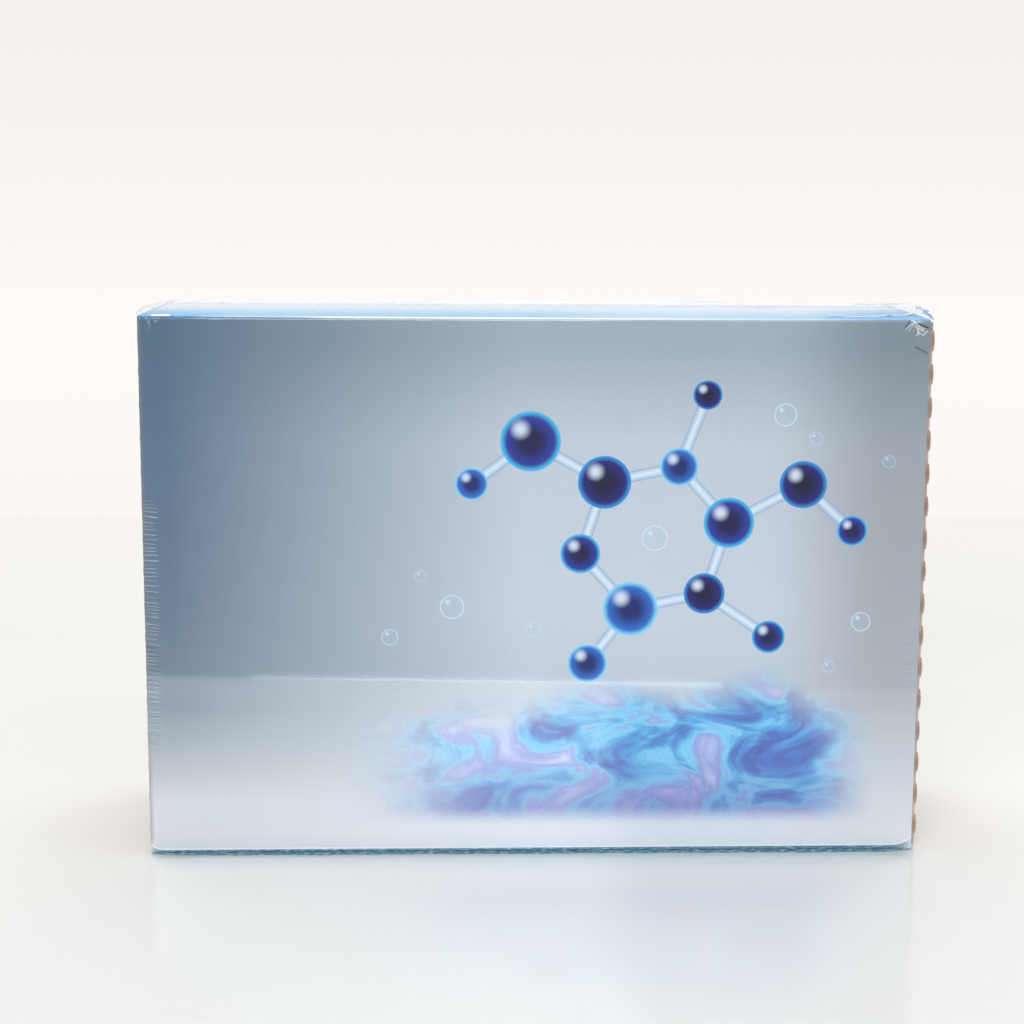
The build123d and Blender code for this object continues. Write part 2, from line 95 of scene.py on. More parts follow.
def millimetres(tree):
    """Object coordinates in millimetres, and their three parts."""
    place = add(tree, "ShaderNodeTexCoord").outputs["Object"]
    point = add(tree, VECTOR, {0: place, "Scale": 1000.0}, operation="SCALE")
    return point, add(tree, SPLIT, [point])


def dress(material, *names):
    """Give the CAD nodes of these names the material."""
    for name in names:
        for i in range(len(nodes[name].data.materials)):
            nodes[name].data.materials[i] = material


def colours_along(tree, value, low, high, stops):
    """Colours set out along a length that runs from low to high."""
    return add(tree, RAMP, [add(tree, RANGE, [value, low, high])], stops=stops)


def sockets_of(group, inputs, outputs):
    """Declare a node group's sockets. Returns what its input node gives, by name, and its output node."""
    kinds = {"f": "NodeSocketFloat", "v": "NodeSocketVector", "c": "NodeSocketColor", "g": "NodeSocketGeometry",
             "i": "NodeSocketInt", "m": "NodeSocketMaterial"}
    for name, kind in inputs:
        group.interface.new_socket(name=name, in_out="INPUT", socket_type=kinds[kind])
    for name, kind in outputs:
        group.interface.new_socket(name=name, in_out="OUTPUT", socket_type=kinds[kind])
    given = {socket.name: socket for socket in group.nodes.new("NodeGroupInput").outputs}
    return given, group.nodes.new("NodeGroupOutput")


def piece(name, mesh, body, material):
    """Link a finished mesh as a piece that rides on a body."""
    obj = bpy.data.objects.new(name, mesh)
    bpy.context.scene.collection.objects.link(obj)
    mesh.materials.clear()
    mesh.materials.append(material)
    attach(obj, body)
    return obj


# ---------------------------------------------------------------- sizes, in millimetres
sleeve_low, sleeve_high = (np.array(c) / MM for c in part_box("printed_sleeve"))
film_low, film_high = (np.array(c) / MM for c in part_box("shrink_film"))
tray_low, tray_high = (np.array(c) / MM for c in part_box("kraft_tray"))
sleeve_board = 0.5
sleeve_fold = 0.8
sleeve_half_depth = (sleeve_high[1] - sleeve_low[1]) / 2
sleeve_half_height = (sleeve_high[2] - sleeve_low[2]) / 2
sleeve_middle_z = (sleeve_high[2] + sleeve_low[2]) / 2
tray_board = 1.6

# ---------------------------------------------------------------- camera
camera_place = Vector((-15.10, -539.49, 177.72)) * MM
camera_yaw, camera_pitch, camera_roll = 0.0397, 0.1675, 0.008
camera_lens, camera_sensor, camera_shift = 71.075, 36.0, (-0.0451, -0.0026)

level_ahead = Vector((math.sin(camera_yaw), math.cos(camera_yaw), 0))
ahead = level_ahead * math.cos(camera_pitch) - Vector((0, 0, math.sin(camera_pitch)))
level = Vector((math.cos(camera_yaw), -math.sin(camera_yaw), 0))
above = level.cross(ahead)
side = level * math.cos(camera_roll) + above * math.sin(camera_roll)
top = above * math.cos(camera_roll) - level * math.sin(camera_roll)

camera = bpy.data.objects.new("camera", bpy.data.cameras.new("camera"))
camera.data.lens, camera.data.sensor_width = camera_lens, camera_sensor
camera.data.shift_x, camera.data.shift_y = camera_shift
camera.data.clip_start = 0.01
camera.matrix_world = Matrix.Translation(camera_place) @ Matrix((side, top, -ahead)).transposed().to_4x4()
bpy.context.scene.collection.objects.link(camera)
bpy.context.scene.camera = camera
bpy.context.scene.view_settings.view_transform = "Standard"

# ---------------------------------------------------------------- table, backdrop and lamps
table_front, table_back, table_half, table_skew = -0.207, 0.487, 1.2, 0.10


def stage_sheet(name, corners, material):
    """A flat four-cornered stage piece."""
    mesh = bpy.data.meshes.new(name)
    mesh.from_pydata(corners, [], [(0, 1, 2, 3)])
    mesh.materials.append(material)
    sheet = bpy.data.objects.new(name, mesh)
    bpy.context.scene.collection.objects.link(sheet)
    return sheet


# Acrylic sheet, polished: glossy white, with a faint mirror image of the case and softly scuffed patches.
acrylic, t, shader = finish("acrylic_polished_white", IOR=1.49)
point, axes = millimetres(t)
scuffs = add(t, NOISE, {"Vector": point, "Scale": 1 / 90.0, "Detail": 3.0})
t.links.new(add(t, RANGE, [scuffs, 0.3, 0.7, 0.10, 0.16]).outputs[0], shader.inputs["Roughness"])
tone = colours_along(t, axes.outputs[1], -200.0, 480.0, [
    (0.0, "DEDEDB"), (1.0, "EDEAE2"), (0.24, "ECECE8"), (0.42, "E9E9E3"), (0.62, "E6E5DF")])
# Contact shade in front of the box, which soft lamps alone leave too faint.
contact_begins, contact_ends, contact_half, contact_fade = -43.5, -31.0, 95.0, 8.0
contact = colours_along(t, axes.outputs[1], contact_begins, contact_ends, [
    (0.0, "FFFFFF"), (1.0, "D8E1E6"), (0.45, "EFF4F6"), (0.75, "DEE7EC")])
abreast = add(t, MATH, [axes.outputs[0]], operation="ABSOLUTE")
abreast = add(t, RANGE, [abreast, contact_half + contact_fade, contact_half], interpolation_type="SMOOTHSTEP")
before = add(t, MATH, [axes.outputs[1], 0.0], operation="LESS_THAN")
abreast = add(t, MATH, [abreast, before], operation="MULTIPLY")
tone = add(t, MIX, {"Factor": abreast, "A": tone, "B": contact}, data_type="RGBA", blend_type="MULTIPLY")
t.links.new(tone.outputs[2], shader.inputs["Base Color"])
stage_sheet("table", [(-table_half, table_front - table_skew, 0), (table_half, table_front + table_skew, 0),
                      (table_half, table_back, 0), (-table_half, table_back, 0)], acrylic)


def glowing(name, code, strength):
    """An emission material for what is only seen mirrored."""
    material = bpy.data.materials.new(name)
    material.use_nodes = True
    tree = material.node_tree
    tree.nodes.clear()
    light = add(tree, "ShaderNodeEmission", {"Color": linear(code), "Strength": strength})
    tree.links.new(light.outputs[0], add(tree, "ShaderNodeOutputMaterial").inputs[0])
    return material


# The dim room in front of the table, and a glowing strip that stands in for the lit edge of the table: cards
# seen only in mirror, they paint reflections into the film on the front, which mirrors both.
room = [(-3, -1.6, -1.6), (3, -1.6, -1.6), (3, -1.6, 0.35), (-3, -1.6, 0.35)]
edge_slope = table_skew / table_half
edge = [(end, table_front + edge_slope * end - 0.001, height)
        for end, height in ((-0.095, -0.001), (0.070, -0.001), (0.070, 0.001), (-0.095, 0.0006))]
for sheet in (stage_sheet("room_card", room, glowing("room_dim", "8D949C", 1.0)),
              stage_sheet("table_edge", edge, glowing("table_edge_glow", "F4FAFF", 3.0))):
    sheet.visible_camera = sheet.visible_diffuse = sheet.visible_shadow = sheet.visible_transmission = False

world = bpy.data.worlds.new("studio")
bpy.context.scene.world = world
world.use_nodes = True
t = world.node_tree
t.nodes.clear()
direction = add(t, SPLIT, [add(t, "ShaderNodeTexCoord").outputs["Generated"]])
backdrop = colours_along(t, direction.outputs[2], -0.18, 0.10, [
    (0.0, "FBF6F3"), (0.12, "FCF7F5"), (0.36, "FEFBF9"), (0.62, "FAF4F2"), (0.86, "F4F0ED"), (1.0, "F2EEEB")])
seen = add(t, "ShaderNodeBackground", {"Color": backdrop, "Strength": 1.0})
ambient = add(t, "ShaderNodeBackground", {"Color": linear("F3F6FB"), "Strength": 0.46})
rays = add(t, "ShaderNodeLightPath")
plain = add(t, MATH, [rays.outputs["Is Camera Ray"], rays.outputs["Is Glossy Ray"]], operation="MAXIMUM")
plain = add(t, MATH, [plain, rays.outputs["Is Transmission Ray"]], operation="MAXIMUM")
mixed = add(t, "ShaderNodeMixShader", [plain, ambient, seen])
t.links.new(mixed.outputs[0], add(t, "ShaderNodeOutputWorld").inputs[0])


def softbox(name, place, target, width, height, power, code):
    """A rectangular studio lamp aimed at a point."""
    lamp = bpy.data.lights.new(name, "AREA")
    lamp.shape, lamp.size, lamp.size_y, lamp.energy = "RECTANGLE", width, height, power
    lamp.color = linear(code)[:3]
    obj = bpy.data.objects.new(name, lamp)
    obj.location = place
    obj.rotation_euler = (Vector(target) - Vector(place)).to_track_quat("-Z", "Y").to_euler()
    bpy.context.scene.collection.objects.link(obj)
    return obj


softbox("lamp_front", (-0.5, -2.0, 0.8), (0, 0, 0.07), 1.4, 0.9, 26.0, "FFFDFB")
softbox("lamp_strip", (0.05, -0.80, 1.25), (0.0, 0, 0.1), 1.5, 0.06, 3.0, "FFFFFF")
softbox("lamp_above", (0.0, 0.55, 1.25), (0, 0.05, 0), 1.6, 1.0, 12.0, "FFFFFF")
softbox("lamp_right", (1.3, -0.5, 0.6), (0, 0, 0.07), 0.8, 0.8, 3.0, "FBFCFF")


# ---------------------------------------------------------------- generic print of the sleeve
def glints(tree, axes):
    """Teal: print blue with painted shade and slanting painted glints, laid out as if the base and front were
    one sheet.
    """
    flat_y = add(tree, MATH, [axes.outputs[1], 0.33, 0.33 * sleeve_half_depth], operation="MULTIPLY_ADD")
    low = add(tree, MATH, [axes.outputs[2], flat_y], operation="ADD")
    sheet = add(tree, JOIN, {0: axes.outputs[0], 2: low})
    slanted = add(tree, MAPPING, {"Vector": sheet, "Rotation": (0.0, math.radians(40), 0.0),
                                  "Scale": (1 / 1.9, 1.0, 1 / 0.42)})
    glint = add(tree, NOISE, {"Vector": slanted, "Scale": 1.0, "Detail": 3.0, "Roughness": 0.7})
    return add(tree, RAMP, [glint], stops=[
        (0.34, "33607A"), (0.70, "C6DAE0"), (0.48, "4C7C92"), (0.58, "7BA0B0")])


# A ball of ink-blue glass on the print: dark core, lit rim and a pale highlight.
bead = bpy.data.node_groups.new("printed_bead", "ShaderNodeTree")
given, sink = sockets_of(bead, [("Point", "v"), ("Centre", "v"), ("Radius", "f"), ("Fill", "f"), ("Core", "c"),
                                ("Body", "c"), ("Rim", "c"), ("Under", "c")], [("Colour", "c")])
reach = add(bead, VECTOR, [given["Point"], given["Centre"]], operation="DISTANCE").outputs["Value"]
share = add(bead, MATH, [reach, given["Radius"]], operation="DIVIDE")
soft = add(bead, MATH, [0.16, given["Radius"]], operation="DIVIDE")
cover = add(bead, MATH, [1.0, share], operation="SUBTRACT")
cover = add(bead, MATH, [cover, soft], operation="DIVIDE", use_clamp=True)
to_body = add(bead, RANGE, [share, 0.25, 0.86], interpolation_type="SMOOTHSTEP")
to_rim = add(bead, RANGE, [share, 0.76, 0.99], interpolation_type="SMOOTHSTEP")
tone = add(bead, MIX, {"Factor": to_body, "A": given["Core"], "B": given["Body"]}, data_type="RGBA")
tone = add(bead, MIX, {"Factor": to_rim, "A": tone, "B": given["Rim"]}, data_type="RGBA")
offset = add(bead, VECTOR, {0: (-0.34, 0.0, 0.40), "Scale": given["Radius"]}, operation="SCALE")
spot = add(bead, VECTOR, [given["Centre"], offset], operation="ADD")
spot = add(bead, VECTOR, [given["Point"], spot], operation="DISTANCE").outputs["Value"]
spot = add(bead, MATH, [spot, given["Radius"]], operation="DIVIDE")
spot = add(bead, RANGE, [spot, 0.42, 0.05, 0.0, 0.85], interpolation_type="SMOOTHSTEP")
tone = add(bead, MIX, {"Factor": spot, "A": tone, "B": linear("E6F4FF")}, data_type="RGBA")
hollow = add(bead, MATH, [to_rim, spot], operation="MAXIMUM")
solid = add(bead, MATH, [given["Fill"], hollow], operation="MAXIMUM")
cover = add(bead, MATH, [cover, solid], operation="MULTIPLY")
tone = add(bead, MIX, {"Factor": cover, "A": given["Under"], "B": tone}, data_type="RGBA")
bead.links.new(tone.outputs[2], sink.inputs[0])

# A pale see-through rod between two beads.
bond = bpy.data.node_groups.new("printed_bond", "ShaderNodeTree")
given, sink = sockets_of(bond, [("Point", "v"), ("Start", "v"), ("End", "v"), ("Radius", "f"), ("Under", "c")],
                         [("Colour", "c")])
run = add(bond, VECTOR, [given["End"], given["Start"]], operation="SUBTRACT")
here = add(bond, VECTOR, [given["Point"], given["Start"]], operation="SUBTRACT")
covered = add(bond, VECTOR, [here, run], operation="DOT_PRODUCT").outputs["Value"]
whole = add(bond, VECTOR, [run, run], operation="DOT_PRODUCT").outputs["Value"]
along = add(bond, MATH, [covered, whole], operation="DIVIDE", use_clamp=True)
nearest = add(bond, VECTOR, {0: run, "Scale": along}, operation="SCALE")
away = add(bond, VECTOR, [here, nearest], operation="DISTANCE").outputs["Value"]
share = add(bond, MATH, [away, given["Radius"]], operation="DIVIDE")
tone = add(bond, RAMP, [share], stops=[(0.0, "F2F8FD"), (1.0, "5C8FC6"), (0.35, "D5E6F5"), (0.78, "9DBFE2")])
cover = add(bond, RANGE, [share, 1.0, 0.9, 0.0, 0.72])
tone = add(bond, MIX, {"Factor": cover, "A": given["Under"], "B": tone}, data_type="RGBA")
bond.links.new(tone.outputs[2], sink.inputs[0])

# The molecule: a ring of six balls and what branches off it, with bubbles about it.
ring_x, ring_z, ring_radius, ring_turn = 30.0, 84.0, 19.5, math.radians(12)
ring = [(ring_x + ring_radius * math.cos(ring_turn + k * math.pi / 3),
         ring_z + ring_radius * math.sin(ring_turn + k * math.pi / 3)) for k in range(6)]
chain = [(-2.0, 109.0), (-17.0, 98.0), (68.0, 98.0), (81.0, 86.0), (13.0, 51.0), (43.0, 121.0), (60.0, 58.0)]
balls = ring + chain
ball_radii = [6.6, 5.0, 6.9, 5.2, 7.2, 5.4, 7.8, 4.3, 6.2, 4.0, 5.2, 3.8, 4.4]
bonds = [(0, 1), (1, 2), (2, 3), (3, 4), (4, 5), (5, 0), (2, 6), (6, 7), (0, 8), (8, 9), (4, 10), (1, 11),
         (5, 12)]
bond_radius = 1.5
bubbles = [(63, 116, 3.0), (71, 110, 1.7), (-22, 66, 3.2), (-30, 74, 1.6), (84, 62, 2.6), (-1, 60, 2.0),
           (90, 104, 1.7), (-38, 58, 2.2), (76, 50, 1.6), (30, 84, 3.4)]
inks = [("15104A", "2A3BA0", "49C2EE"), ("17246E", "2F6FC8", "8CDCF8"), ("0E0B38", "231F78", "2E9BE0")]

# Paperboard, offset printed and varnished: soft even tones under a thin satin coat, bare and fibrous where cut.
sleeve_print, t, shader = finish("paperboard_printed_varnished", IOR=1.5, Specular_IOR_Level=0.2)
point, axes = millimetres(t)
x, y, z = axes.outputs
# Ground: grey-blue at the left, pale in the middle and greyer again at the right, each graded upward.
rise = add(t, MATH, [z, 1 / sleeve_high[2]], operation="MULTIPLY")
dusk = add(t, RAMP, [rise], stops=[
    (0.04, "C6C9CC"), (0.95, "537084"), (0.10, "C1C5CA"), (0.165, "A3AAAE"), (0.22, "86939E"), (0.28, "6C7E8C"),
    (0.35, "768796"), (0.47, "6C7E91"), (0.77, "5D768C")])
noon = add(t, RAMP, [rise], stops=[
    (0.04, "D9DEE6"), (0.95, "A8B4BD"), (0.165, "CBD3DC"), (0.29, "C6CED7"), (0.47, "CED5DE"),
    (0.77, "CAD1D9")])
dawn = add(t, RAMP, [rise], stops=[
    (0.04, "DADBDF"), (0.95, "87939B"), (0.165, "C4CBD1"), (0.29, "B2B5BA"), (0.47, "ADB0B4"),
    (0.77, "A4AAAF")])
to_noon = add(t, RANGE, [x, -94.0, -4.0])
to_dawn = add(t, RANGE, [x, 56.0, 92.0], interpolation_type="SMOOTHSTEP")
ground = add(t, MIX, {"Factor": to_noon, "A": dusk, "B": noon}, data_type="RGBA")
ground = add(t, MIX, {"Factor": to_dawn, "A": ground, "B": dawn}, data_type="RGBA")

# Marbled band of liquid along the foot of the print.
swell = add(t, NOISE, {"Vector": point, "Scale": 1 / 34.0, "Detail": 2.0})
surface = add(t, MATH, [x, 1 / 19.0], operation="MULTIPLY")
surface = add(t, MATH, [surface], operation="SINE")
surface = add(t, MATH, [surface, 3.5, 24.0], operation="MULTIPLY_ADD")
surface = add(t, MATH, [swell, 34.0, surface], operation="MULTIPLY_ADD")
depth = add(t, MATH, [surface, z], operation="SUBTRACT")
wet = add(t, RANGE, [depth, -8.0, 9.0], interpolation_type="SMOOTHSTEP")
for place, begin, end in ((z, 7.0, 13.0), (x, 90.0, 70.0), (x, -52.0, -8.0)):
    limit = add(t, RANGE, [place, begin, end], interpolation_type="SMOOTHSTEP")
    wet = add(t, MATH, [wet, limit], operation="MULTIPLY")
squeezed = add(t, MAPPING, {"Vector": point, "Scale": (1 / 26.0, 1 / 26.0, 1 / 15.0)})
marble = add(t, NOISE, {"Vector": squeezed, "Scale": 1.0, "Detail": 7.0, "Roughness": 0.56, "Distortion": 1.5})
liquid = add(t, RAMP, [marble], stops=[(0.28, "3A3F93"), (0.78, "DCE9F6"), (0.38, "3E6DBE"), (0.45, "49A6DD"),
                                          (0.52, "7CCFF0"), (0.58, "8F9FDB"), (0.66, "B9C6EC")])
murk = add(t, RANGE, [z, 30.0, 10.0, 0.0, 0.5], interpolation_type="SMOOTHSTEP")
liquid = add(t, MIX, {"Factor": murk, "A": liquid, "B": linear("5B58A6")}, data_type="RGBA")
tip = back_picture = add(t, MIX, {"Factor": wet, "A": ground, "B": liquid}, data_type="RGBA").outputs[2]

flat = add(t, VECTOR, [point, (1.0, 0.0, 1.0)], operation="MULTIPLY")
for start, end in bonds:
    start, end = ((balls[i][0], 0, balls[i][1]) for i in (start, end))
    tip = add(t, "ShaderNodeGroup", {"Point": flat, "Start": start, "End": end, "Radius": bond_radius,
                                     "Under": tip}, node_tree=bond).outputs[0]
for i, ((ball_x, ball_z), radius) in enumerate(zip(balls, ball_radii)):
    core, body, rim_tone = (linear(code) for code in inks[i % len(inks)])
    tip = add(t, "ShaderNodeGroup", {"Point": flat, "Centre": (ball_x, 0, ball_z), "Radius": radius,
                                     "Fill": 1.0, "Core": core, "Body": body, "Rim": rim_tone, "Under": tip},
              node_tree=bead).outputs[0]
bubble_tone, bubble_rim = linear("9CC6E8"), linear("E4F4FF")
for bubble_x, bubble_z, radius in bubbles:
    tip = add(t, "ShaderNodeGroup", {"Point": flat, "Centre": (bubble_x, 0, bubble_z), "Radius": radius,
                                     "Fill": 0.12, "Core": bubble_tone, "Body": bubble_tone, "Rim": bubble_rim,
                                     "Under": tip}, node_tree=bead).outputs[0]

# Which panel a point is on: the front has the whole picture, the back has it without the molecule, the top is
# graded from blue to white, and the bottom is teal with painted shade and painted glints.
behind = add(t, RANGE, [y, -0.1, 0.1])
upright = add(t, MIX, {"Factor": behind, "A": tip, "B": back_picture}, data_type="RGBA")
reach_y = add(t, MATH, [y], operation="ABSOLUTE")
reach_y = add(t, MATH, [reach_y, sleeve_half_depth - sleeve_fold], operation="SUBTRACT")
reach_z = add(t, MATH, [z, sleeve_middle_z], operation="SUBTRACT")
reach_z = add(t, MATH, [reach_z], operation="ABSOLUTE")
reach_z = add(t, MATH, [reach_z, sleeve_half_height - sleeve_fold], operation="SUBTRACT")
lying = add(t, MATH, [reach_z, reach_y], operation="SUBTRACT")
lying = add(t, RANGE, [lying, -0.15, 0.15])
lid = colours_along(t, y, -30.0, 30.0, [(0.0, "55B2DC"), (1.0, "FAF9F9"), (0.2, "74C0E2"), (0.36, "A4D0E6"),
                                        (0.6, "D6E3EC")])
strong = add(t, MATH, [x], operation="ABSOLUTE")
strong = add(t, RANGE, [strong, 70.0, 94.0, 0.0, 0.95], interpolation_type="SMOOTHSTEP")
near = add(t, MATH, [x, 0.0], operation="GREATER_THAN")
near = add(t, MATH, [near, -15.0, y], operation="MULTIPLY_ADD")
near = add(t, RANGE, [near, -5.0, -24.0])
strong = add(t, MATH, [strong, near], operation="MULTIPLY")
faded = colours_along(t, x, -100.0, 100.0, [(0.5, "000000"), (0.92, "000000"), (0.66, "A8A8A8"),
                                            (0.84, "868686")])
lid = add(t, MIX, {"Factor": faded, "A": lid, "B": linear("DDE8F2")}, data_type="RGBA")
lid = add(t, MIX, {"Factor": strong, "A": lid, "B": linear("2E9EDA")}, data_type="RGBA")
lid_end = add(t, RANGE, [z, 40.0, 60.0])
under = glints(t, axes)
lid = add(t, MIX, {"Factor": lid_end, "A": under, "B": lid}, data_type="RGBA")
outside = add(t, MIX, {"Factor": lying, "A": upright, "B": lid}, data_type="RGBA")

# The blue of the bottom panel comes round the lower folds, and higher at the crushed corners.
crush_right = add(t, RANGE, [x, 93.0, 99.4, 0.0, 1.0])
crush_right = add(t, MATH, [crush_right, 2.6], operation="POWER")
crush_left = add(t, RANGE, [x, -97.5, -100.6, 0.0, 1.0])
crush_left = add(t, MATH, [crush_left, 2.2], operation="POWER")
wrap = add(t, MATH, [x, 0.0018, 1.235], operation="MULTIPLY_ADD")
wrap = add(t, MATH, [crush_right, 1.9, wrap], operation="MULTIPLY_ADD")
wrap = add(t, MATH, [crush_left, 1.5, wrap], operation="MULTIPLY_ADD")
crushed = add(t, MATH, [crush_left, crush_right], operation="ADD")
under = add(t, MIX, {"Factor": crushed, "A": under, "B": linear("C9D6DA")}, data_type="RGBA")
wrap = add(t, MATH, [wrap, z], operation="SUBTRACT")
# Painted highlight: a pale line along the edge just above the blue of the lower fold.
painted_edge_highlight = add(t, MATH, [wrap, -0.26, 0.15], operation="COMPARE")
painted_edge_highlight = add(t, MATH, [painted_edge_highlight, 0.6], operation="MULTIPLY")
outside = add(t, MIX, {"Factor": painted_edge_highlight, "A": outside, "B": linear("F4F6FB")}, data_type="RGBA")
wrap = add(t, RANGE, [wrap, -0.08, 0.08])
outside = add(t, MIX, {"Factor": wrap, "A": outside, "B": under}, data_type="RGBA")

# A painted highlight lies pale along the fold at the top, most of all in the middle of its length.
fold_turn = add(t, MATH, [reach_y, 0.001], operation="MAXIMUM")
fold_turn = add(t, MATH, [reach_z, fold_turn], operation="DIVIDE")
thinned = add(t, RANGE, [x, -64.0, -50.0, 0.4, 1.0])
thinned = add(t, MATH, [fold_turn, thinned], operation="MULTIPLY")
painted_fold_highlight = add(t, RANGE, [thinned, 0.5, 0.95, 0.0, 1.0])
turned_in = add(t, RANGE, [fold_turn, 3.2, 1.9])
upper = add(t, MATH, [reach_z, 0.05], operation="GREATER_THAN")
stretch = colours_along(t, x, -100.0, 100.0, [(0.07, "000000"), (0.93, "000000"), (0.11, "FFFFFF"),
                                              (0.60, "FFFFFF"), (0.70, "C0C0C0"), (0.84, "909090")])
for limit in (turned_in, upper, lid_end, stretch):
    painted_fold_highlight = add(t, MATH, [painted_fold_highlight, limit], operation="MULTIPLY")
outside = add(t, MIX, {"Factor": painted_fold_highlight, "A": outside, "B": linear("FDFEFF")}, data_type="RGBA")
greyed = add(t, RANGE, [x, sleeve_low[0] + 1.1, sleeve_low[0] + 0.4, 0.0, 0.55])
greyed = add(t, MATH, [greyed, add(t, RANGE, [z, 2.0, 4.0])], operation="MULTIPLY")
outside = add(t, MIX, {"Factor": greyed, "A": outside, "B": linear("85807F")}, data_type="RGBA")

# Bare board inside and on the cut ends, with pale fibres.
fibre = add(t, NOISE, {"Vector": point, "Scale": 1 / 0.8, "Detail": 4.0, "Roughness": 0.65})
board = add(t, RAMP, [fibre], stops=[(0.3, "BDB4A8"), (0.7, "D9D3CA")])
past_y, past_z = (add(t, MATH, [reach, 0.0], operation="MAXIMUM") for reach in (reach_y, reach_z))
fold_distance = add(t, VECTOR, [add(t, JOIN, [past_y, past_z])], operation="LENGTH").outputs["Value"]
inner = add(t, MATH, [fold_distance, sleeve_fold - sleeve_board / 2], operation="LESS_THAN")
middle_x = (sleeve_low[0] + sleeve_high[0]) / 2
end_reach = add(t, MATH, [add(t, MATH, [x, middle_x], operation="SUBTRACT")], operation="ABSOLUTE")
cut_wear = 0.42
worn = add(t, MATH, [fibre, 0.8, (sleeve_high[0] - sleeve_low[0]) / 2 - cut_wear], operation="MULTIPLY_ADD")
cut = add(t, MATH, [end_reach, worn], operation="GREATER_THAN")
bare = add(t, MATH, [inner, cut], operation="MAXIMUM")
colour = add(t, MIX, {"Factor": bare, "A": outside, "B": board}, data_type="RGBA")
t.links.new(colour.outputs[2], shader.inputs["Base Color"])
t.links.new(add(t, RANGE, {"Value": bare, 3: 0.34, 4: 0.85}).outputs[0], shader.inputs["Roughness"])
tooth = add(t, "ShaderNodeBump", {"Height": fibre, "Strength": 0.06, "Distance": 0.0002})
t.links.new(tooth.outputs[0], shader.inputs["Normal"])
dress(sleeve_print, "printed_sleeve")

# ---------------------------------------------------------------- shrink film
# Polyolefin film, heat-shrunk: clear, with mirror gloss that grows towards the edge of view. Fine pleats cross
# its ends; it turns milky where it gathers, with painted sheen and highlights on pale lines and painted shade
# on dark ones.
film_clear = bpy.data.materials.new("polyolefin_film_shrunk")
film_clear.use_nodes = True
t = film_clear.node_tree
t.nodes.clear()
point, axes = millimetres(t)
x, y, z = axes.outputs


def pleat_lines(tree, point, pitch, shift, width):
    """Thin lines across the film, about a pitch apart: 1 on a line, 0 away from it."""
    place = add(tree, MAPPING, {"Vector": point, "Location": (0.0, 0.0, shift), "Scale": (0.04, 0.04, 0.2)})
    drift = add(tree, NOISE, {"Vector": place, "Scale": 1.0, "Detail": 1.0})
    parts = add(tree, SPLIT, [point])
    phase = add(tree, MATH, [drift, 3.0], operation="MULTIPLY")
    phase = add(tree, MATH, [parts.outputs[2], 1 / pitch, phase], operation="MULTIPLY_ADD")
    phase = add(tree, MATH, [parts.outputs[0], 0.09, phase], operation="MULTIPLY_ADD")
    away = add(tree, MATH, [phase], operation="FRACT")
    away = add(tree, MATH, [away, 0.5], operation="SUBTRACT")
    away = add(tree, MATH, [away], operation="ABSOLUTE")
    return add(tree, RANGE, [away, width / pitch, 0.3 * width / pitch, 0.0, 1.0])


patchy = add(t, MAPPING, {"Vector": point, "Scale": (0.1, 0.1, 1 / 1.7)})
patchy = add(t, NOISE, {"Vector": patchy, "Scale": 1.0, "Detail": 1.0})
patchy = add(t, RANGE, [patchy, 0.38, 0.6])
pleat_reach = add(t, MAPPING, {"Vector": point, "Scale": (0.05, 0.05, 1 / 1.6)})
pleat_reach = add(t, NOISE, {"Vector": pleat_reach, "Scale": 1.0, "Detail": 0.0})
# Pleat lines at the ends: the pale ones are painted sheen, the dark ones painted shade.
pale_pleats = pleat_lines(t, point, 1.15, 0.0, 0.16)
dark_pleats = pleat_lines(t, point, 1.9, 40.0, 0.15)
ends = []
# For each end: where it is, the way inward, and where its pleats begin and how far they reach.
for edge, toward, begin, reach in ((film_low[0], 1.0, 0.55, 3.9), (film_high[0], -1.0, 2.4, 5.2)):
    distance = add(t, MATH, [x, edge], operation="SUBTRACT")
    distance = add(t, MATH, [distance, toward], operation="MULTIPLY")
    limit = add(t, MATH, [pleat_reach, 2.4, reach - 1.2], operation="MULTIPLY_ADD")
    inside = add(t, MATH, [limit, distance], operation="SUBTRACT")
    inside = add(t, RANGE, [inside, 0.0, 0.3])
    begun = add(t, RANGE, [distance, begin, begin + 0.4])
    ends.append(add(t, MATH, [inside, begun], operation="MULTIPLY"))
left_pleats, right_pleats = ends
left_pale = colours_along(t, z, 0.0, 100.0, [(0.28, "000000"), (0.99, "000000"), (0.33, "D4D4D4"),
                                             (0.5, "E0E0E0"), (0.72, "E4E4E4"), (0.76, "FFFFFF"),
                                             (0.90, "FFFFFF"), (0.94, "909090")])
left_dark = colours_along(t, z, 0.0, 100.0, [(0.25, "000000"), (0.6, "000000"), (0.31, "FFFFFF"),
                                             (0.48, "FFFFFF")])
right_pale = colours_along(t, z, 0.0, 100.0, [(0.3, "000000"), (0.72, "000000"), (0.38, "A8A8A8"),
                                              (0.62, "A8A8A8")])
left_pale = add(t, MATH, [left_pleats, left_pale], operation="MULTIPLY")
right_pale = add(t, MATH, [right_pleats, right_pale], operation="MULTIPLY")
pale = add(t, MATH, [left_pale, right_pale], operation="MAXIMUM")
for part in (pale_pleats, add(t, MATH, [patchy, 0.6, 0.4], operation="MULTIPLY_ADD")):
    pale = add(t, MATH, [pale, part], operation="MULTIPLY")
dark = left_pleats
for part in (left_dark, dark_pleats, add(t, MATH, [patchy, -0.6, 1.0], operation="MULTIPLY_ADD")):
    dark = add(t, MATH, [dark, part], operation="MULTIPLY")
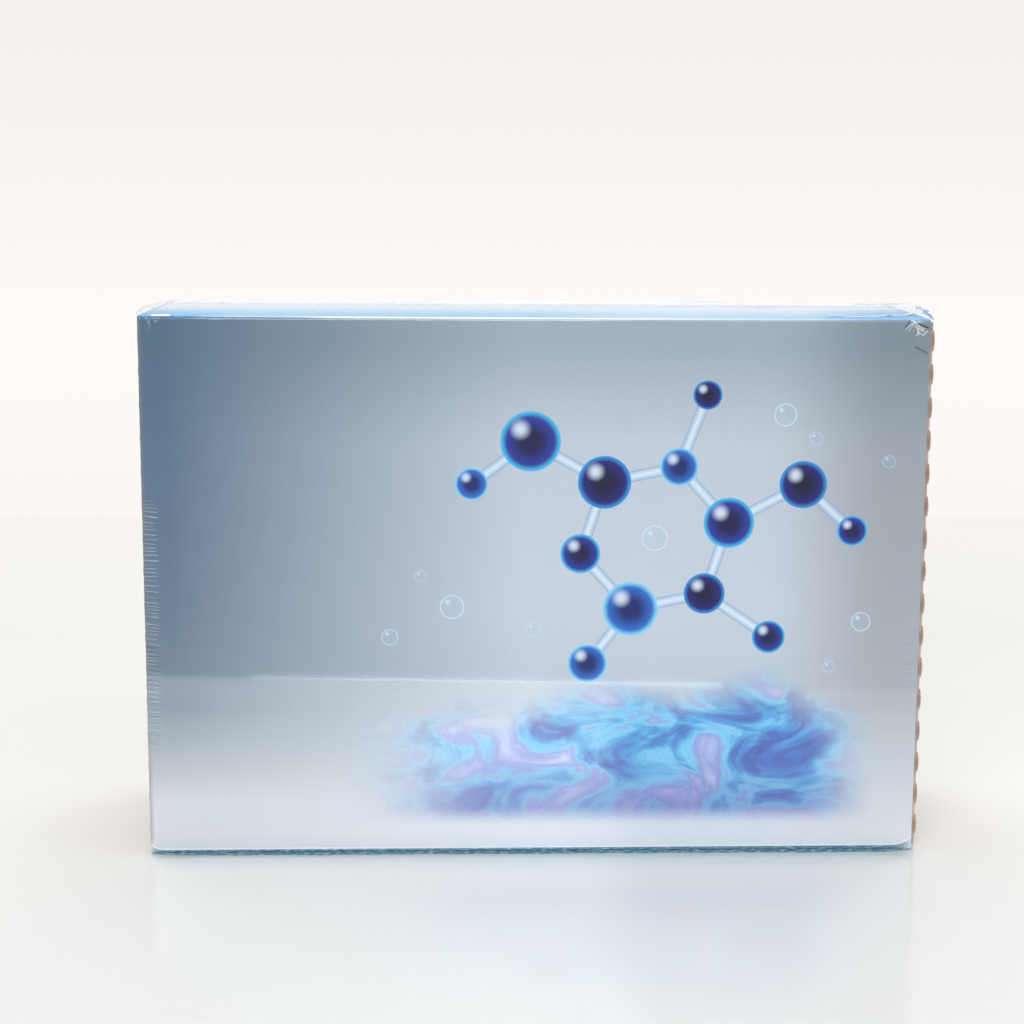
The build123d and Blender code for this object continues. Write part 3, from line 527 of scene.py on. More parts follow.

# A long fine crease runs along the front, with a painted highlight along it.
track = add(t, MAPPING, {"Vector": point, "Scale": (1 / 14.0, 0.0, 0.0)})
track = add(t, NOISE, {"Vector": track, "Scale": 1.0, "Detail": 2.0})
falling = add(t, MATH, [x, -0.017, 45.3], operation="MULTIPLY_ADD")
track = add(t, MATH, [track, 1.6, falling], operation="MULTIPLY_ADD")
away = add(t, MATH, [z, track], operation="SUBTRACT")
away = add(t, MATH, [away], operation="ABSOLUTE")
painted_crease_highlight = add(t, RANGE, [away, 0.30, 0.10, 0.0, 1.0])
length = colours_along(t, x, -100.0, 100.0, [(0.14, "000000"), (0.72, "000000"), (0.27, "B0B0B0"),
                                             (0.36, "FFFFFF"), (0.6, "C0C0C0"), (0.69, "909090")])
in_front = add(t, MATH, [y, 0.0], operation="LESS_THAN")
for part in (length, in_front):
    painted_crease_highlight = add(t, MATH, [painted_crease_highlight, part], operation="MULTIPLY")

# Milky where the film gathers, plus painted sheen (positive) and painted shade (negative), as the mesh carries
# them.
milk_sheen_shade_value = add(t, "ShaderNodeAttribute", attribute_name="gather").outputs["Fac"]
milk_and_sheen = add(t, MATH, [milk_sheen_shade_value, 0.0], operation="MAXIMUM")
pale = add(t, MATH, [pale, 0.26], operation="MULTIPLY")
milk_and_sheen = add(t, MATH, [milk_and_sheen, pale], operation="MAXIMUM")
painted_crease_highlight = add(t, MATH, [painted_crease_highlight, 0.42], operation="MULTIPLY")
milk_and_sheen = add(t, MATH, [milk_and_sheen, painted_crease_highlight], operation="MAXIMUM", use_clamp=True)
shaded = add(t, MATH, [milk_sheen_shade_value, -1.0], operation="MULTIPLY")
dark = add(t, MATH, [dark, 0.26], operation="MULTIPLY")
shaded = add(t, MATH, [shaded, dark], operation="MAXIMUM", use_clamp=True)
edge_on = add(t, "ShaderNodeLayerWeight", {"Blend": 0.5}).outputs["Facing"]
gloss = add(t, MATH, [edge_on, 5.0], operation="POWER")
gloss = add(t, MATH, [gloss, 0.20, 0.045], operation="MULTIPLY_ADD", use_clamp=True)
dull = add(t, "ShaderNodeAttribute", attribute_name="dull").outputs["Fac"]
bright = add(t, MATH, [1.0, dull], operation="SUBTRACT")
gloss = add(t, MATH, [gloss, bright], operation="MULTIPLY")
mirror = add(t, "ShaderNodeBsdfGlossy", {"Color": linear("FFFFFF"), "Roughness": 0.05})
tint = add(t, MIX, {"Factor": shaded, "A": linear("FDFEFF"), "B": linear("4C606D")}, data_type="RGBA")
clear = add(t, "ShaderNodeBsdfTransparent", {"Color": tint.outputs[2]})
mist = colours_along(t, y, -30.0, 6.0, [(0.0, "47A0E2"), (1.0, "EEF2F7"), (0.56, "62B0E8"), (0.78, "BFDDF5")])
near_top = add(t, RANGE, [z, sleeve_high[2] - 0.25, sleeve_high[2] - 0.05])
thick = add(t, RANGE, [milk_and_sheen, 0.62, 0.76, 1.0, 0.0])
blue_share = add(t, MATH, [near_top, thick], operation="MULTIPLY")
mist = add(t, MIX, {"Factor": blue_share, "A": linear("EFF4F8"), "B": mist}, data_type="RGBA")
milk_and_sheen_diffuse = add(t, "ShaderNodeBsdfDiffuse", {"Color": mist})
both = add(t, "ShaderNodeMixShader", [milk_and_sheen, clear, milk_and_sheen_diffuse])
both = add(t, "ShaderNodeMixShader", [gloss, both, mirror])
t.links.new(both.outputs[0], add(t, "ShaderNodeOutputMaterial").inputs[0])

film_gap, film_sheet = 0.09, 0.05
film_round = sleeve_fold + film_gap


def steps(*spans):
    """Stations through spans of (end, step), from the first number on."""
    places = [spans[0]]
    for end, step in spans[1:]:
        count = max(1, round(abs(end - places[-1]) / step))
        places += list(np.linspace(places[-1], end, count + 1)[1:])
    return np.array(places)


def smooth(value, low, high):
    """Smooth step from 0 at low to 1 at high."""
    share = np.clip((value - low) / (high - low), 0, 1)
    return share * share * (3 - 2 * share)


def wander(places, pitch, seed):
    """Smooth random wave through the places, between -1 and 1. Negative places get knots of their own."""
    knots = np.random.default_rng(seed).uniform(-1, 1, 400)
    at = np.abs(places) / pitch + (places < 0) * 190
    low = np.floor(at).astype(int) % 399
    share = at - np.floor(at)
    share = share * share * (3 - 2 * share)
    return knots[low] * (1 - share) + knots[low + 1] * share


def crease(a, b, start, end, width, height):
    """Ridge of a crease from start to end on a panel with coordinates a and b."""
    run = np.array(end, float) - np.array(start, float)
    share = np.clip(((a - start[0]) * run[0] + (b - start[1]) * run[1]) / (run @ run), 0, 1)
    away = np.hypot(a - start[0] - share * run[0], b - start[1] - share * run[1])
    return height * np.exp(-(away / width) ** 2)


def grid_faces(rows, columns, closed=False, flipped=False):
    """Quads over a grid of points, row by row. Closed joins the last row to the first."""
    faces = []
    for row in range(rows if closed else rows - 1):
        this, following = row * columns, (row + 1) % rows * columns
        for j in range(columns - 1):
            quad = (this + j, this + j + 1, following + j + 1, following + j)
            faces.append((quad[0], *quad[:0:-1]) if flipped else quad)
    return faces


def film_piece(name, grid, faces, thickness, offset, material, **values):
    """Give a sheet of film its thickness and keep it as a smooth piece of the sleeve's body."""
    sheet = bpy.data.meshes.new(name)
    sheet.from_pydata((grid.reshape(-1, 3) * MM).tolist(), [], faces)
    for key, value in values.items():
        sheet.attributes.new(key, "FLOAT", "POINT").data.foreach_set("value", value.ravel())
    sheet.update()
    shell = bpy.data.objects.new(name + "_shell", sheet)
    bpy.context.scene.collection.objects.link(shell)
    wall = shell.modifiers.new("wall", "SOLIDIFY")
    wall.thickness, wall.offset = thickness * MM, offset
    solid = bpy.data.meshes.new_from_object(shell.evaluated_get(bpy.context.evaluated_depsgraph_get()))
    bpy.data.objects.remove(shell)
    solid.shade_smooth()
    return piece(name, solid, "sleeve", material)


# Rows of the grid go once round the sleeve: which panel, how far along it, where, and which way it faces.
low_z, high_z = sleeve_low[2] + sleeve_fold, sleeve_high[2] - sleeve_fold
edge_y = sleeve_half_depth - sleeve_fold
FRONT, TOP, BACK, BOTTOM, FOLD = range(5)
rows = []
for panel, places, corner in (
    (FRONT, steps(low_z, (120, 3.0), (127, 1.0), (132, 0.35), (high_z, 0.16)), (-edge_y, high_z, 180)),
    (TOP, steps(-edge_y, (-22, 0.4), (12, 1.2), (24, 0.5), (edge_y, 0.8)), (edge_y, high_z, 90)),
    (BACK, steps(high_z, (128, 0.8), (low_z, 3.0)), (edge_y, low_z, 0)),
    (BOTTOM, steps(edge_y, (-edge_y, 2.5)), (-edge_y, low_z, -90)),
):
    facing = {FRONT: (-1, 0), TOP: (0, 1), BACK: (1, 0), BOTTOM: (0, -1)}[panel]
    for place in places:
        y_at = place if panel in (TOP, BOTTOM) else facing[0] * (sleeve_half_depth + film_gap)
        z_at = sleeve_middle_z + facing[1] * (sleeve_half_height + film_gap)
        z_at = place if panel in (FRONT, BACK) else z_at
        rows.append((panel, place, y_at, z_at, *facing))
    for turn in np.linspace(corner[2], corner[2] - 90, 7)[1:-1]:
        out = (math.cos(math.radians(turn)), math.sin(math.radians(turn)))
        rows.append((FOLD, 0, corner[0] + film_round * out[0], corner[1] + film_round * out[1], *out))
rows = np.array(rows, float)

# Columns go from end to end, close together where the film crumples.
left_end, right_end = film_low[0], film_high[0]
columns = np.array(
    [left_end + d for d in (0, 0.2)] + list(np.linspace(left_end + 0.45, left_end + 17.6, 50))
    + list(np.linspace(left_end + 22, right_end - 22, 21))
    + [right_end - d for d in (18, 15, 13, 12, 11.2, 10.4)]
    + list(np.linspace(right_end - 9.8, right_end - 0.9, 56))
    + [right_end - d for d in (0.6, 0.35, 0.15, 0)])
X, panel = np.meshgrid(columns, rows[:, 0], indexing="xy")
place, Y, Z, out_y, out_z = (np.repeat(rows[:, i:i + 1], len(columns), axis=1) for i in range(1, 6))
height = np.zeros_like(X)

# Film drawn over flat board: barely wavy.
height += np.where(panel == BOTTOM, 0.0, 0.02 * (1 + wander(X + 300, 37.0, 1) * wander(place + 500, 29.0, 2)))

# Creases of the two upper corners, given from the corner: how far in and down each begins and ends, its half
# width, its height, and its painted sheen (positive) or painted shade (negative) along it.
corner_z = sleeve_high[2]
gathered = np.zeros_like(X)
for corner_x, inward, creases in (
    (sleeve_high[0], -1, (
        (4.1, 0.5, 6.5, 2.5, 0.11, 0.06, 0.55), (4.0, 0.6, 5.7, 2.9, 0.09, 0.06, 0.53),
        (4.0, 0.6, 4.6, 1.4, 0.08, 0.05, 0.84), (3.9, 0.7, 2.9, 3.9, 0.09, 0.05, 0.59),
        (3.8, 0.6, 1.7, 3.0, 0.08, 0.05, 0.7), (3.4, 0.95, 0.7, 2.05, 0.11, 0.08, -0.75),
        (3.8, 0.9, 4.4, 0.25, 0.08, 0.04, 0.8), (3.7, 0.8, 3.0, 0.2, 0.08, 0.04, 0.75),
        (3.5, 1.0, 2.2, 0.5, 0.08, 0.04, 0.7), (3.3, 2.2, 1.9, 2.9, 0.09, 0.04, 0.7),
        (4.1, 1.6, 3.3, 2.6, 0.09, 0.04, 0.6), (3.0, 1.7, 3.4, 3.2, 0.09, 0.04, 0.65),
        (5.4, 0.2, 6.5, 2.1, 0.15, 0.04, -0.25), (3.7, 4.2, 3.1, 3.0, 0.08, 0.04, 0.84),
        (3.1, 3.0, 2.0, 4.0, 0.09, 0.04, 0.56), (2.0, 4.0, 0.8, 2.8, 0.09, 0.06, 0.91),
        (2.6, 1.9, 1.6, 2.4, 0.08, 0.04, 0.7), (3.6, 1.5, 2.8, 2.7, 0.08, 0.04, 0.49),
        (4.2, 0.4, 5.2, 0.1, 0.12, 0.04, 0.84), (3.8, 6.95, 2.8, 7.4, 0.13, 0.05, -0.45),
        (2.9, 7.4, 0.7, 8.45, 0.09, 0.05, -0.45), (9.0, 2.2, 14.0, 14.0, 0.5, 0.03, 0.0))),
    (sleeve_low[0], 1, (
        (2.4, 0.4, 3.0, 2.2, 0.13, 0.04, 0.16), (4.2, 0.3, 4.6, 1.6, 0.13, 0.04, 0.2),
        (5.6, 0.2, 5.3, 1.2, 0.12, 0.04, 0.18), (3.4, 0.2, 2.9, 3.6, 0.13, 0.03, 0.10))),
):
    for in_1, down_1, in_2, down_2, width, tall, sheen_or_shade in creases:
        start = (corner_x + inward * in_1, corner_z - down_1)
        end = (corner_x + inward * in_2, corner_z - down_2)
        ridge = crease(X, Z, start, end, width, 1.0)
        ridge = np.where((panel == FRONT) | (panel == FOLD) & (Y < 0) & (Z > sleeve_middle_z), ridge, 0)
        height += tall * ridge
        gathered = np.where(np.abs(sheen_or_shade * ridge) > np.abs(gathered), sheen_or_shade * ridge, gathered)

# Painted glints of crumpled film along the top fold at the left corner, where the film has no gloss of its own.
corner_left = smooth(-X, -sleeve_low[0] - 17.0, -sleeve_low[0] - 14.0)
on_fold = (panel == FOLD) & (Z > sleeve_middle_z) | (panel == FRONT) & (place > high_z - 0.2)
by_top = (panel == FOLD) & (Z > sleeve_middle_z + 1) | (panel == TOP) & (place < -22)
level_up = Z + 0.075 * Y
sparkle = 1.3 * wander(X + 0.5 * level_up, 0.5, 61) + 0.7 * wander(X - 0.9 * level_up, 1.3, 62) - 1.7
glint_row = np.exp(-((X + 94.6) / 2.8) ** 4) * np.exp(-((level_up - 138.28) / 0.2) ** 2)
sparkle = np.maximum(sparkle, 1.2 * glint_row - 0.2 + 0.25 * wander(X, 0.6, 63))
sparkle = np.clip(sparkle, 0, 1) * smooth(X, -100.4, -99.4) * smooth(-X, 88.5, 91.5)
gathered = np.where(by_top & (Y < 0) & (sparkle > 0.2), 0.78 + 0.2 * sparkle, gathered)

# Painted highlights on creases that run in from the right corner along the top, narrow across and drawn out in
# depth.
drawn_out = 4
flat_y = place / drawn_out
run_in = [(79, -23.5), (84, -21.5), (90.1, -18.8), (93.9, -16.5), (96.5, -16), (97.8, -13), (98.6, -18.6),
          (99.6, -18.8)]
for start, end in zip(run_in, run_in[1:]):
    ridge = crease(X, flat_y, (start[0], start[1] / drawn_out), (end[0], end[1] / drawn_out), 0.42, 1.0)
    gathered = np.where((panel == TOP) & (ridge > 0.45), 0.60 + 0.2 * ridge, gathered)
dulled = np.where(on_fold & (Y < 0), np.maximum(corner_left, 0.6 * smooth(X, 20, 50)), 0.0)
dulled = np.where((panel == FOLD) & (Y < 0) & (Z > sleeve_middle_z) & (Z < high_z + 0.55), 0.85, dulled)
top_creases = [((95, -29), (90, -18), 0.8, 0.25), ((96, -26), (97, -8), 0.7, 0.3),
               ((94, -28.5), (78, -27.6), 0.6, 0.12), ((-99, -26), (-95, -12), 0.8, 0.2),
               ((98, 4), (90, 10), 0.9, 0.25), ((97, 20), (87, 27), 0.9, 0.3),
               ((84, -27.4), (60, -26), 0.5, 0.10), ((-95, -27.5), (-80, -26.8), 0.5, 0.12)]
for start, end, width, amount in top_creases:
    height += np.where(panel == TOP, crease(X, place, start, end, width, amount), 0)

# Along the back of the top the loose film stands in low ridges, with painted sheen on them.
back_ridge = smooth(place, 2, 14) * smooth(26 - place, 0, 8)
ridge_height = 0.28 * (1 + wander(X, 9.0, 41) + 0.6 * wander(X, 3.1, 42))
height += np.where(panel == TOP, back_ridge * smooth(X, -60, 40) * ridge_height, 0)
ridge_sheen = back_ridge * (0.12 + 0.16 * np.clip(wander(X, 6.0, 43), 0, 1))
gathered = np.where(panel == TOP, np.maximum(gathered, ridge_sheen), gathered)

# The open ends turn in a little past the board, and the upper corners stand out as ears.
past_board = np.maximum(smooth(X, sleeve_high[0], right_end), smooth(-X, -sleeve_low[0], -left_end))
height -= past_board * np.where(panel == BOTTOM, 0.0, 0.32 + 0.22 * wander(place + X, 1.9, 3))
Y += out_y * height
Z += out_z * height
across_top = np.where((panel == TOP) | (panel == FOLD), smooth(Z, sleeve_high[2] - 0.6, sleeve_high[2]), 0)
ear_right_reach, ear_left_reach = 6.5, 5.0
ear_right = smooth(X, right_end - ear_right_reach, right_end) * across_top
ear_left = smooth(-X, -left_end - ear_left_reach, -left_end) * across_top
bulge_right = np.interp(Y, [-30, -24, -15, 0, 10, 22, 30], [0.0, 1.0, 1.9, 3.0, 3.3, 2.2, 0.6])
bulge_left = np.interp(Y, [-30, -24, -10, 0, 8, 15, 22, 30], [0.3, 1.1, 2.3, 2.9, 2.9, 1.9, 0.4, 0.0])
rise_right = np.interp(Y, [-30, -24, -15, 0, 10, 22, 30], [0.0, 0.5, 1.0, 1.2, 0.9, 0.6, 0.8])
rise_left = np.interp(Y, [-30, -24, -12, 0, 15, 30], [0.0, 0.25, 0.5, 0.4, 0.1, 0.0])

# Away from the top corners the ends lie close against the board.
loose = smooth(Z, sleeve_high[2] - 16.0, sleeve_high[2] - 3.0)
close = 0.35 + 0.65 * loose * smooth(Y, -30, -22)
X = np.where(X > sleeve_high[0], sleeve_high[0] + (X - sleeve_high[0]) * close, X)
X = np.where(X < sleeve_low[0], sleeve_low[0] + (X - sleeve_low[0]) * close, X)
ears = np.maximum(0.6 * ear_right * smooth(Y, -6, 8), 0.25 * ear_left * smooth(Y, -10, 8))
overhang_right = smooth(X, sleeve_high[0] - 0.6, sleeve_high[0] + 0.2) * smooth(-Y, 5, 14)
overhang_left = smooth(-X, 0.2 - sleeve_low[0], 0.6 - sleeve_low[0]) * smooth(-Y, 6, 14)
overhang = (overhang_right + overhang_left) * across_top * smooth(Y, -29, -26)
ears = np.maximum(ears, 0.48 * overhang)
gathered = np.where(ears > np.abs(gathered), ears, gathered)
bulge_right, bulge_left = bulge_right + 0.35 * wander(Y, 3.0, 6), bulge_left + 0.15 * wander(Y, 4.0, 7)
rise_right, rise_left = rise_right + 0.3 * wander(Y, 3.5, 8), rise_left + 0.1 * wander(Y, 5.0, 9)
X = X + ear_right * bulge_right - ear_left * bulge_left
Z = Z + ear_right * rise_right + ear_left * rise_left

film = film_piece("film_tube", np.stack([X, Y, Z], -1), grid_faces(*X.shape, closed=True), film_sheet, -1.0,
                  film_clear, gather=gathered, dull=dulled)
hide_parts("shrink_film")

# ---------------------------------------------------------------- weld of the film, a wavy fin along the top
fin_begins, fin_width = 14.5, 7.0
fin_x = np.linspace(left_end + 1.0, right_end - 1.0, 220)
fin_x, fin_s = np.meshgrid(fin_x, np.linspace(0, 1, 9), indexing="xy")
lift = 0.1 + smooth(fin_x, -35, -5) * (0.55 + 0.3 * wander(fin_x, 15.0, 31) + 0.3 * wander(fin_x, 6.0, 32))
lean = 3.2 + 1.2 * wander(fin_x, 23.0, 33)
fin_y = fin_begins + fin_width * fin_s - lean * fin_s ** 3
fin_z = film_high[2] - 0.1 + np.maximum(lift, 0.1) * fin_s ** 2 * 1.3
film_piece("film_weld", np.stack([fin_x, fin_y, fin_z], -1), grid_faces(*fin_x.shape), 2 * film_sheet, 0.0,
           film_clear)

# ---------------------------------------------------------------- hem of the film, crumpled along the foot
hem_overhang, hem_tuck = 1.25, 0.35
hem_x = np.linspace(sleeve_low[0] + 1.6, sleeve_high[0] - 1.2, 420)
hem_x, hem_s = np.meshgrid(hem_x, np.linspace(0, 1, 7), indexing="xy")
taper = smooth(hem_x, sleeve_low[0] + 1.0, sleeve_low[0] + 7.0)
taper = taper * smooth(-hem_x, 1.0 - sleeve_high[0], 9.0 - sleeve_high[0])
hem_reach = (hem_overhang + 0.25 * wander(hem_x, 7.0, 51) + 0.15 * wander(hem_x, 1.7, 52)) * taper
hem_y = -sleeve_half_depth + hem_tuck - hem_s * (hem_tuck + hem_reach)
hem_z = 0.08 + 0.32 * (1 - hem_s) ** 2 + 0.10 * (1 + wander(hem_x, 0.9, 53)) * hem_s * (1 - hem_s) * 4

# Polyolefin film crumpled under the box, drawn opaque: dark teal, the blue of the print with painted shade of
# the gap under the box, and painted glints.
hem_shade_and_glints, t, shader = finish("polyolefin_film_crumpled_painted_glints", Roughness=0.35, IOR=1.49)
point, axes = millimetres(t)
t.links.new(glints(t, axes).outputs[0], shader.inputs["Base Color"])
film_piece("film_hem", np.stack([hem_x, hem_y, hem_z], -1), grid_faces(*hem_x.shape, flipped=True),
           film_sheet, 0.0, hem_shade_and_glints)

# ---------------------------------------------------------------- corrugated board of the drawer
# Kraft board, corrugated: brown liners flecked with long fibres and faintly ribbed, on a waved medium that
# shows at the cut edges, where the hollows of the flutes carry painted shade.
flute_pitch = 3.2
# In halves of the board's thickness: how far its inside reaches, how high the wave is, and half the medium.
board_inside, wave_height, medium_half = 0.74, 0.55, 0.26
on_face = 0.08


def corrugated(name, white, edges):
    """Corrugated board. White lists the outer faces with a white liner, and edges the faces that are cut.

    A face is its axis and place. A cut face comes after the axis and middle of the board's thickness.
    """
    material, tree, shader = finish(name, Roughness=0.88, IOR=1.45)
    point, axes = millimetres(tree)
    fibres = add(tree, MAPPING, {"Vector": point, "Scale": (1 / 2.6, 1 / 0.5, 1 / 0.5)})
    fleck = add(tree, NOISE, {"Vector": fibres, "Scale": 1.0, "Detail": 4.0, "Roughness": 0.7})
    cloud = add(tree, NOISE, {"Vector": point, "Scale": 1 / 21.0, "Detail": 3.0})
    paper = add(tree, RAMP, [fleck], stops=[
        (0.28, "97796A"), (0.78, "D2B9A8"), (0.42, "B59786"), (0.56, "C0A392")])
    aged = add(tree, RANGE, [cloud, 0.35, 0.7, 0.0, 0.35])
    paper = add(tree, MIX, {"Factor": aged, "A": paper, "B": linear("AE8F7E")}, data_type="RGBA")
    pale = add(tree, RAMP, [fleck], stops=[(0.3, "E6E5E1"), (0.7, "F6F6F3")])
    for axis, place in white:
        gap = add(tree, MATH, [axes.outputs[axis], place, on_face], operation="COMPARE")
        paper = add(tree, MIX, {"Factor": gap, "A": paper, "B": pale}, data_type="RGBA")
    run = add(tree, MATH, [axes.outputs[0], axes.outputs[2]], operation="ADD")
    wave = add(tree, MATH, [run, 2 * math.pi / flute_pitch], operation="MULTIPLY")
    wave = add(tree, MATH, [wave], operation="SINE")
    for across, middle, facing, face in edges:
        level = add(tree, RANGE, [axes.outputs[across], middle - tray_board / 2, middle + tray_board / 2,
                                  -1.0, 1.0], clamp=False)
        from_middle = add(tree, MATH, [level], operation="ABSOLUTE")
        inside = add(tree, MATH, [from_middle, board_inside], operation="LESS_THAN")
        medium = add(tree, MATH, [wave, -wave_height, level], operation="MULTIPLY_ADD")
        medium = add(tree, MATH, [medium], operation="ABSOLUTE")
        medium = add(tree, MATH, [medium, medium_half], operation="GREATER_THAN")
        hollow = add(tree, MATH, [inside, medium], operation="MULTIPLY")
        if face is None:
            turned = add(tree, "ShaderNodeNewGeometry").outputs["Normal"]
            turned = add(tree, MATH, [add(tree, SPLIT, [turned]).outputs[facing]], operation="ABSOLUTE")
            cut = add(tree, MATH, [turned, 0.3], operation="LESS_THAN")
            within = add(tree, MATH, [from_middle, 1.02], operation="LESS_THAN")
            cut = add(tree, MATH, [cut, within], operation="MULTIPLY")
        else:
            cut = add(tree, MATH, [axes.outputs[facing], face, on_face], operation="COMPARE")
        hollow = add(tree, MATH, [hollow, cut], operation="MULTIPLY")
        # Painted shade: the hollows between the medium and the liners, dark brown at the cut edge.
        paper = add(tree, MIX, {"Factor": hollow, "A": paper, "B": linear("6B5142")}, data_type="RGBA")
    tree.links.new(paper.outputs[2], shader.inputs["Base Color"])
    ribs = add(tree, MATH, [axes.outputs[0], 2 * math.pi / flute_pitch], operation="MULTIPLY")
    ribs = add(tree, MATH, [ribs], operation="SINE")
    relief = add(tree, MATH, [ribs, 0.35, fleck], operation="MULTIPLY_ADD")
    bump = add(tree, "ShaderNodeBump", {"Height": relief, "Strength": 0.25, "Distance": 0.0003})
    tree.links.new(bump.outputs[0], shader.inputs["Normal"])
    return material


X_AXIS, Y_AXIS, Z_AXIS = range(3)
deck_low, deck_high = (np.array(c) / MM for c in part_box("insert_deck"))
half_board = tray_board / 2
kraft = corrugated("kraft_board_corrugated", [], [
    (Z_AXIS, tray_low[2] + half_board, Y_AXIS, tray_low[1]),
    (Z_AXIS, tray_high[2] - half_board, Y_AXIS, tray_low[1])])
dress(kraft, "kraft_tray")
# Bleached paper glued over the kraft board: clean and white on the faces it covers, brown where it is cut.
lined = corrugated("kraft_board_white_lined", [
    (Y_AXIS, deck_low[1]), (Z_AXIS, deck_low[2]), (Z_AXIS, deck_high[2])], [
    (Y_AXIS, deck_low[1] + half_board, Y_AXIS, None)])
dress(lined, "insert_deck")

# The outer liner stands full along the rolled rim at the right, and swells where a cut edge pops out of it.
pop_pitch, pop_phase, rim_set_back, rim_swell = 8.55, 4.775, 0.525, 0.25
rim_z = np.linspace(tray_low[2] + tray_board + 0.2, tray_high[2] - tray_board - 0.2, 480)
pop_middle = (tray_low[2] + tray_high[2]) / 2 + pop_phase
at_pop = np.cos((rim_z - pop_middle) * 2 * math.pi / pop_pitch)
rim_x = tray_high[0] - rim_set_back + rim_swell * smooth(at_pop, -0.5, 0.9) + 0.04 * wander(rim_z, 2.3, 71)
# Section of the strip: how far each corner is set in from its edge, and how far back from the open side.
profile = [(-1.45, 0.05), (-0.45, 0.02), (-0.12, 0.15), (0.0, 0.5), (0.0, 1.8), (-0.85, 1.8)]
corners = len(profile)
rim_points = [((out + set_in) * MM, (tray_low[1] + back) * MM, up * MM) for out, up in zip(rim_x, rim_z)
              for set_in, back in profile]
rim_faces = [(i + k, i + (k + 1) % corners, i + corners + (k + 1) % corners, i + corners + k)
             for i in range(0, len(rim_points) - corners, corners) for k in range(corners)]
rim_faces += [tuple(range(corners))[::-1], tuple(range(len(rim_points) - corners, len(rim_points)))]
mesh = bpy.data.meshes.new("rim_liner")
mesh.from_pydata(rim_points, [], rim_faces)

# Kraft liner along the crease: darker and greyer where a cut edge pushes out, from the exposed flutes and
# painted shade, paler between.
creased, t, shader = finish("kraft_liner_creased", Roughness=0.9, IOR=1.45)
point, axes = millimetres(t)
pop_shade = add(t, MATH, [axes.outputs[2], pop_middle], operation="SUBTRACT")
pop_shade = add(t, MATH, [pop_shade, 2 * math.pi / pop_pitch], operation="MULTIPLY")
pop_shade = add(t, MATH, [pop_shade], operation="COSINE")
fleck = add(t, NOISE, {"Vector": point, "Scale": 1 / 0.6, "Detail": 3.0})
pop_shade = add(t, MATH, [fleck, 0.8, pop_shade], operation="MULTIPLY_ADD")
tone = colours_along(t, pop_shade, -0.6, 1.4, [(0.0, "BDAA9E"), (1.0, "92796B")])
t.links.new(tone.outputs[0], shader.inputs["Base Color"])
piece("rim_liner", mesh, "drawer", creased)

# ---------------------------------------------------------------- booklet
# Uncoated paper, offset printed: flat dull white with even ink, and its leaves show as fine lines at the edges.
paper, t, shader = finish("paper_offset_printed", Roughness=0.6)
point, axes = millimetres(t)
book_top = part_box("instruction_booklet")[1][2] / MM
rule_pitch, column_half, head_height, leaves_each_mm = 6.0, 76.0, 24.0, 5.0
lines = add(t, MATH, [axes.outputs[2], 1 / rule_pitch], operation="MULTIPLY")
lines = add(t, MATH, [lines], operation="FRACT")
lines = add(t, MATH, [lines, 0.10], operation="LESS_THAN")
column = add(t, MATH, [axes.outputs[0]], operation="ABSOLUTE")
column = add(t, MATH, [column, column_half], operation="LESS_THAN")
lines = add(t, MATH, [lines, column], operation="MULTIPLY")
head = add(t, MATH, [axes.outputs[2], book_top - head_height], operation="GREATER_THAN")
page = add(t, MIX, {"Factor": lines, "A": linear("F4F5F5"), "B": linear("DCE4EA")}, data_type="RGBA")
page = add(t, MIX, {"Factor": head, "A": page, "B": linear("6F9CC4")}, data_type="RGBA")
leaves = add(t, MATH, [axes.outputs[1], leaves_each_mm], operation="MULTIPLY")
leaves = add(t, MATH, [leaves], operation="FRACT")
leaves = add(t, RANGE, [leaves, 0.0, 0.25, 0.72, 1.0])
edge = add(t, "ShaderNodeNewGeometry").outputs["Normal"]
edge = add(t, MATH, [add(t, SPLIT, [edge]).outputs[1]], operation="ABSOLUTE")
edge = add(t, MATH, [edge, 0.5], operation="LESS_THAN")
grey = add(t, JOIN, [leaves, leaves, leaves])
shade = add(t, MIX, {"Factor": edge, "A": (1.0, 1.0, 1.0, 1.0), "B": grey}, data_type="RGBA")
page = add(t, MIX, {"Factor": 1.0, "A": page, "B": shade}, data_type="RGBA", blend_type="MULTIPLY")
t.links.new(page.outputs[2], shader.inputs["Base Color"])
dress(paper, "instruction_booklet")


# ---------------------------------------------------------------- plastics, rubber and glass
def moulded(name, code, other, roughness, grain, **sockets):
    """A moulded or blown finish: its colour drifts a little, and fine grain breaks up its gloss."""
    material, tree, shader = finish(name, **sockets)
    point, _ = millimetres(tree)
    drift = add(tree, NOISE, {"Vector": point, "Scale": 1 / 7.0, "Detail": 2.0})
    tone = add(tree, MIX, {"Factor": drift, "A": linear(code), "B": linear(other)}, data_type="RGBA")
    tree.links.new(tone.outputs[2], shader.inputs["Base Color"])
    texture = add(tree, NOISE, {"Vector": point, "Scale": 1 / grain, "Detail": 3.0, "Roughness": 0.6})
    gloss = add(tree, RANGE, [texture, 0.3, 0.7, roughness * 0.85, roughness * 1.2])
    tree.links.new(gloss.outputs[0], shader.inputs["Roughness"])
    bump = add(tree, "ShaderNodeBump", {"Height": texture, "Strength": 0.12, "Distance": 0.0001})
    tree.links.new(bump.outputs[0], shader.inputs["Normal"])
    return material, tree, shader, point, tone


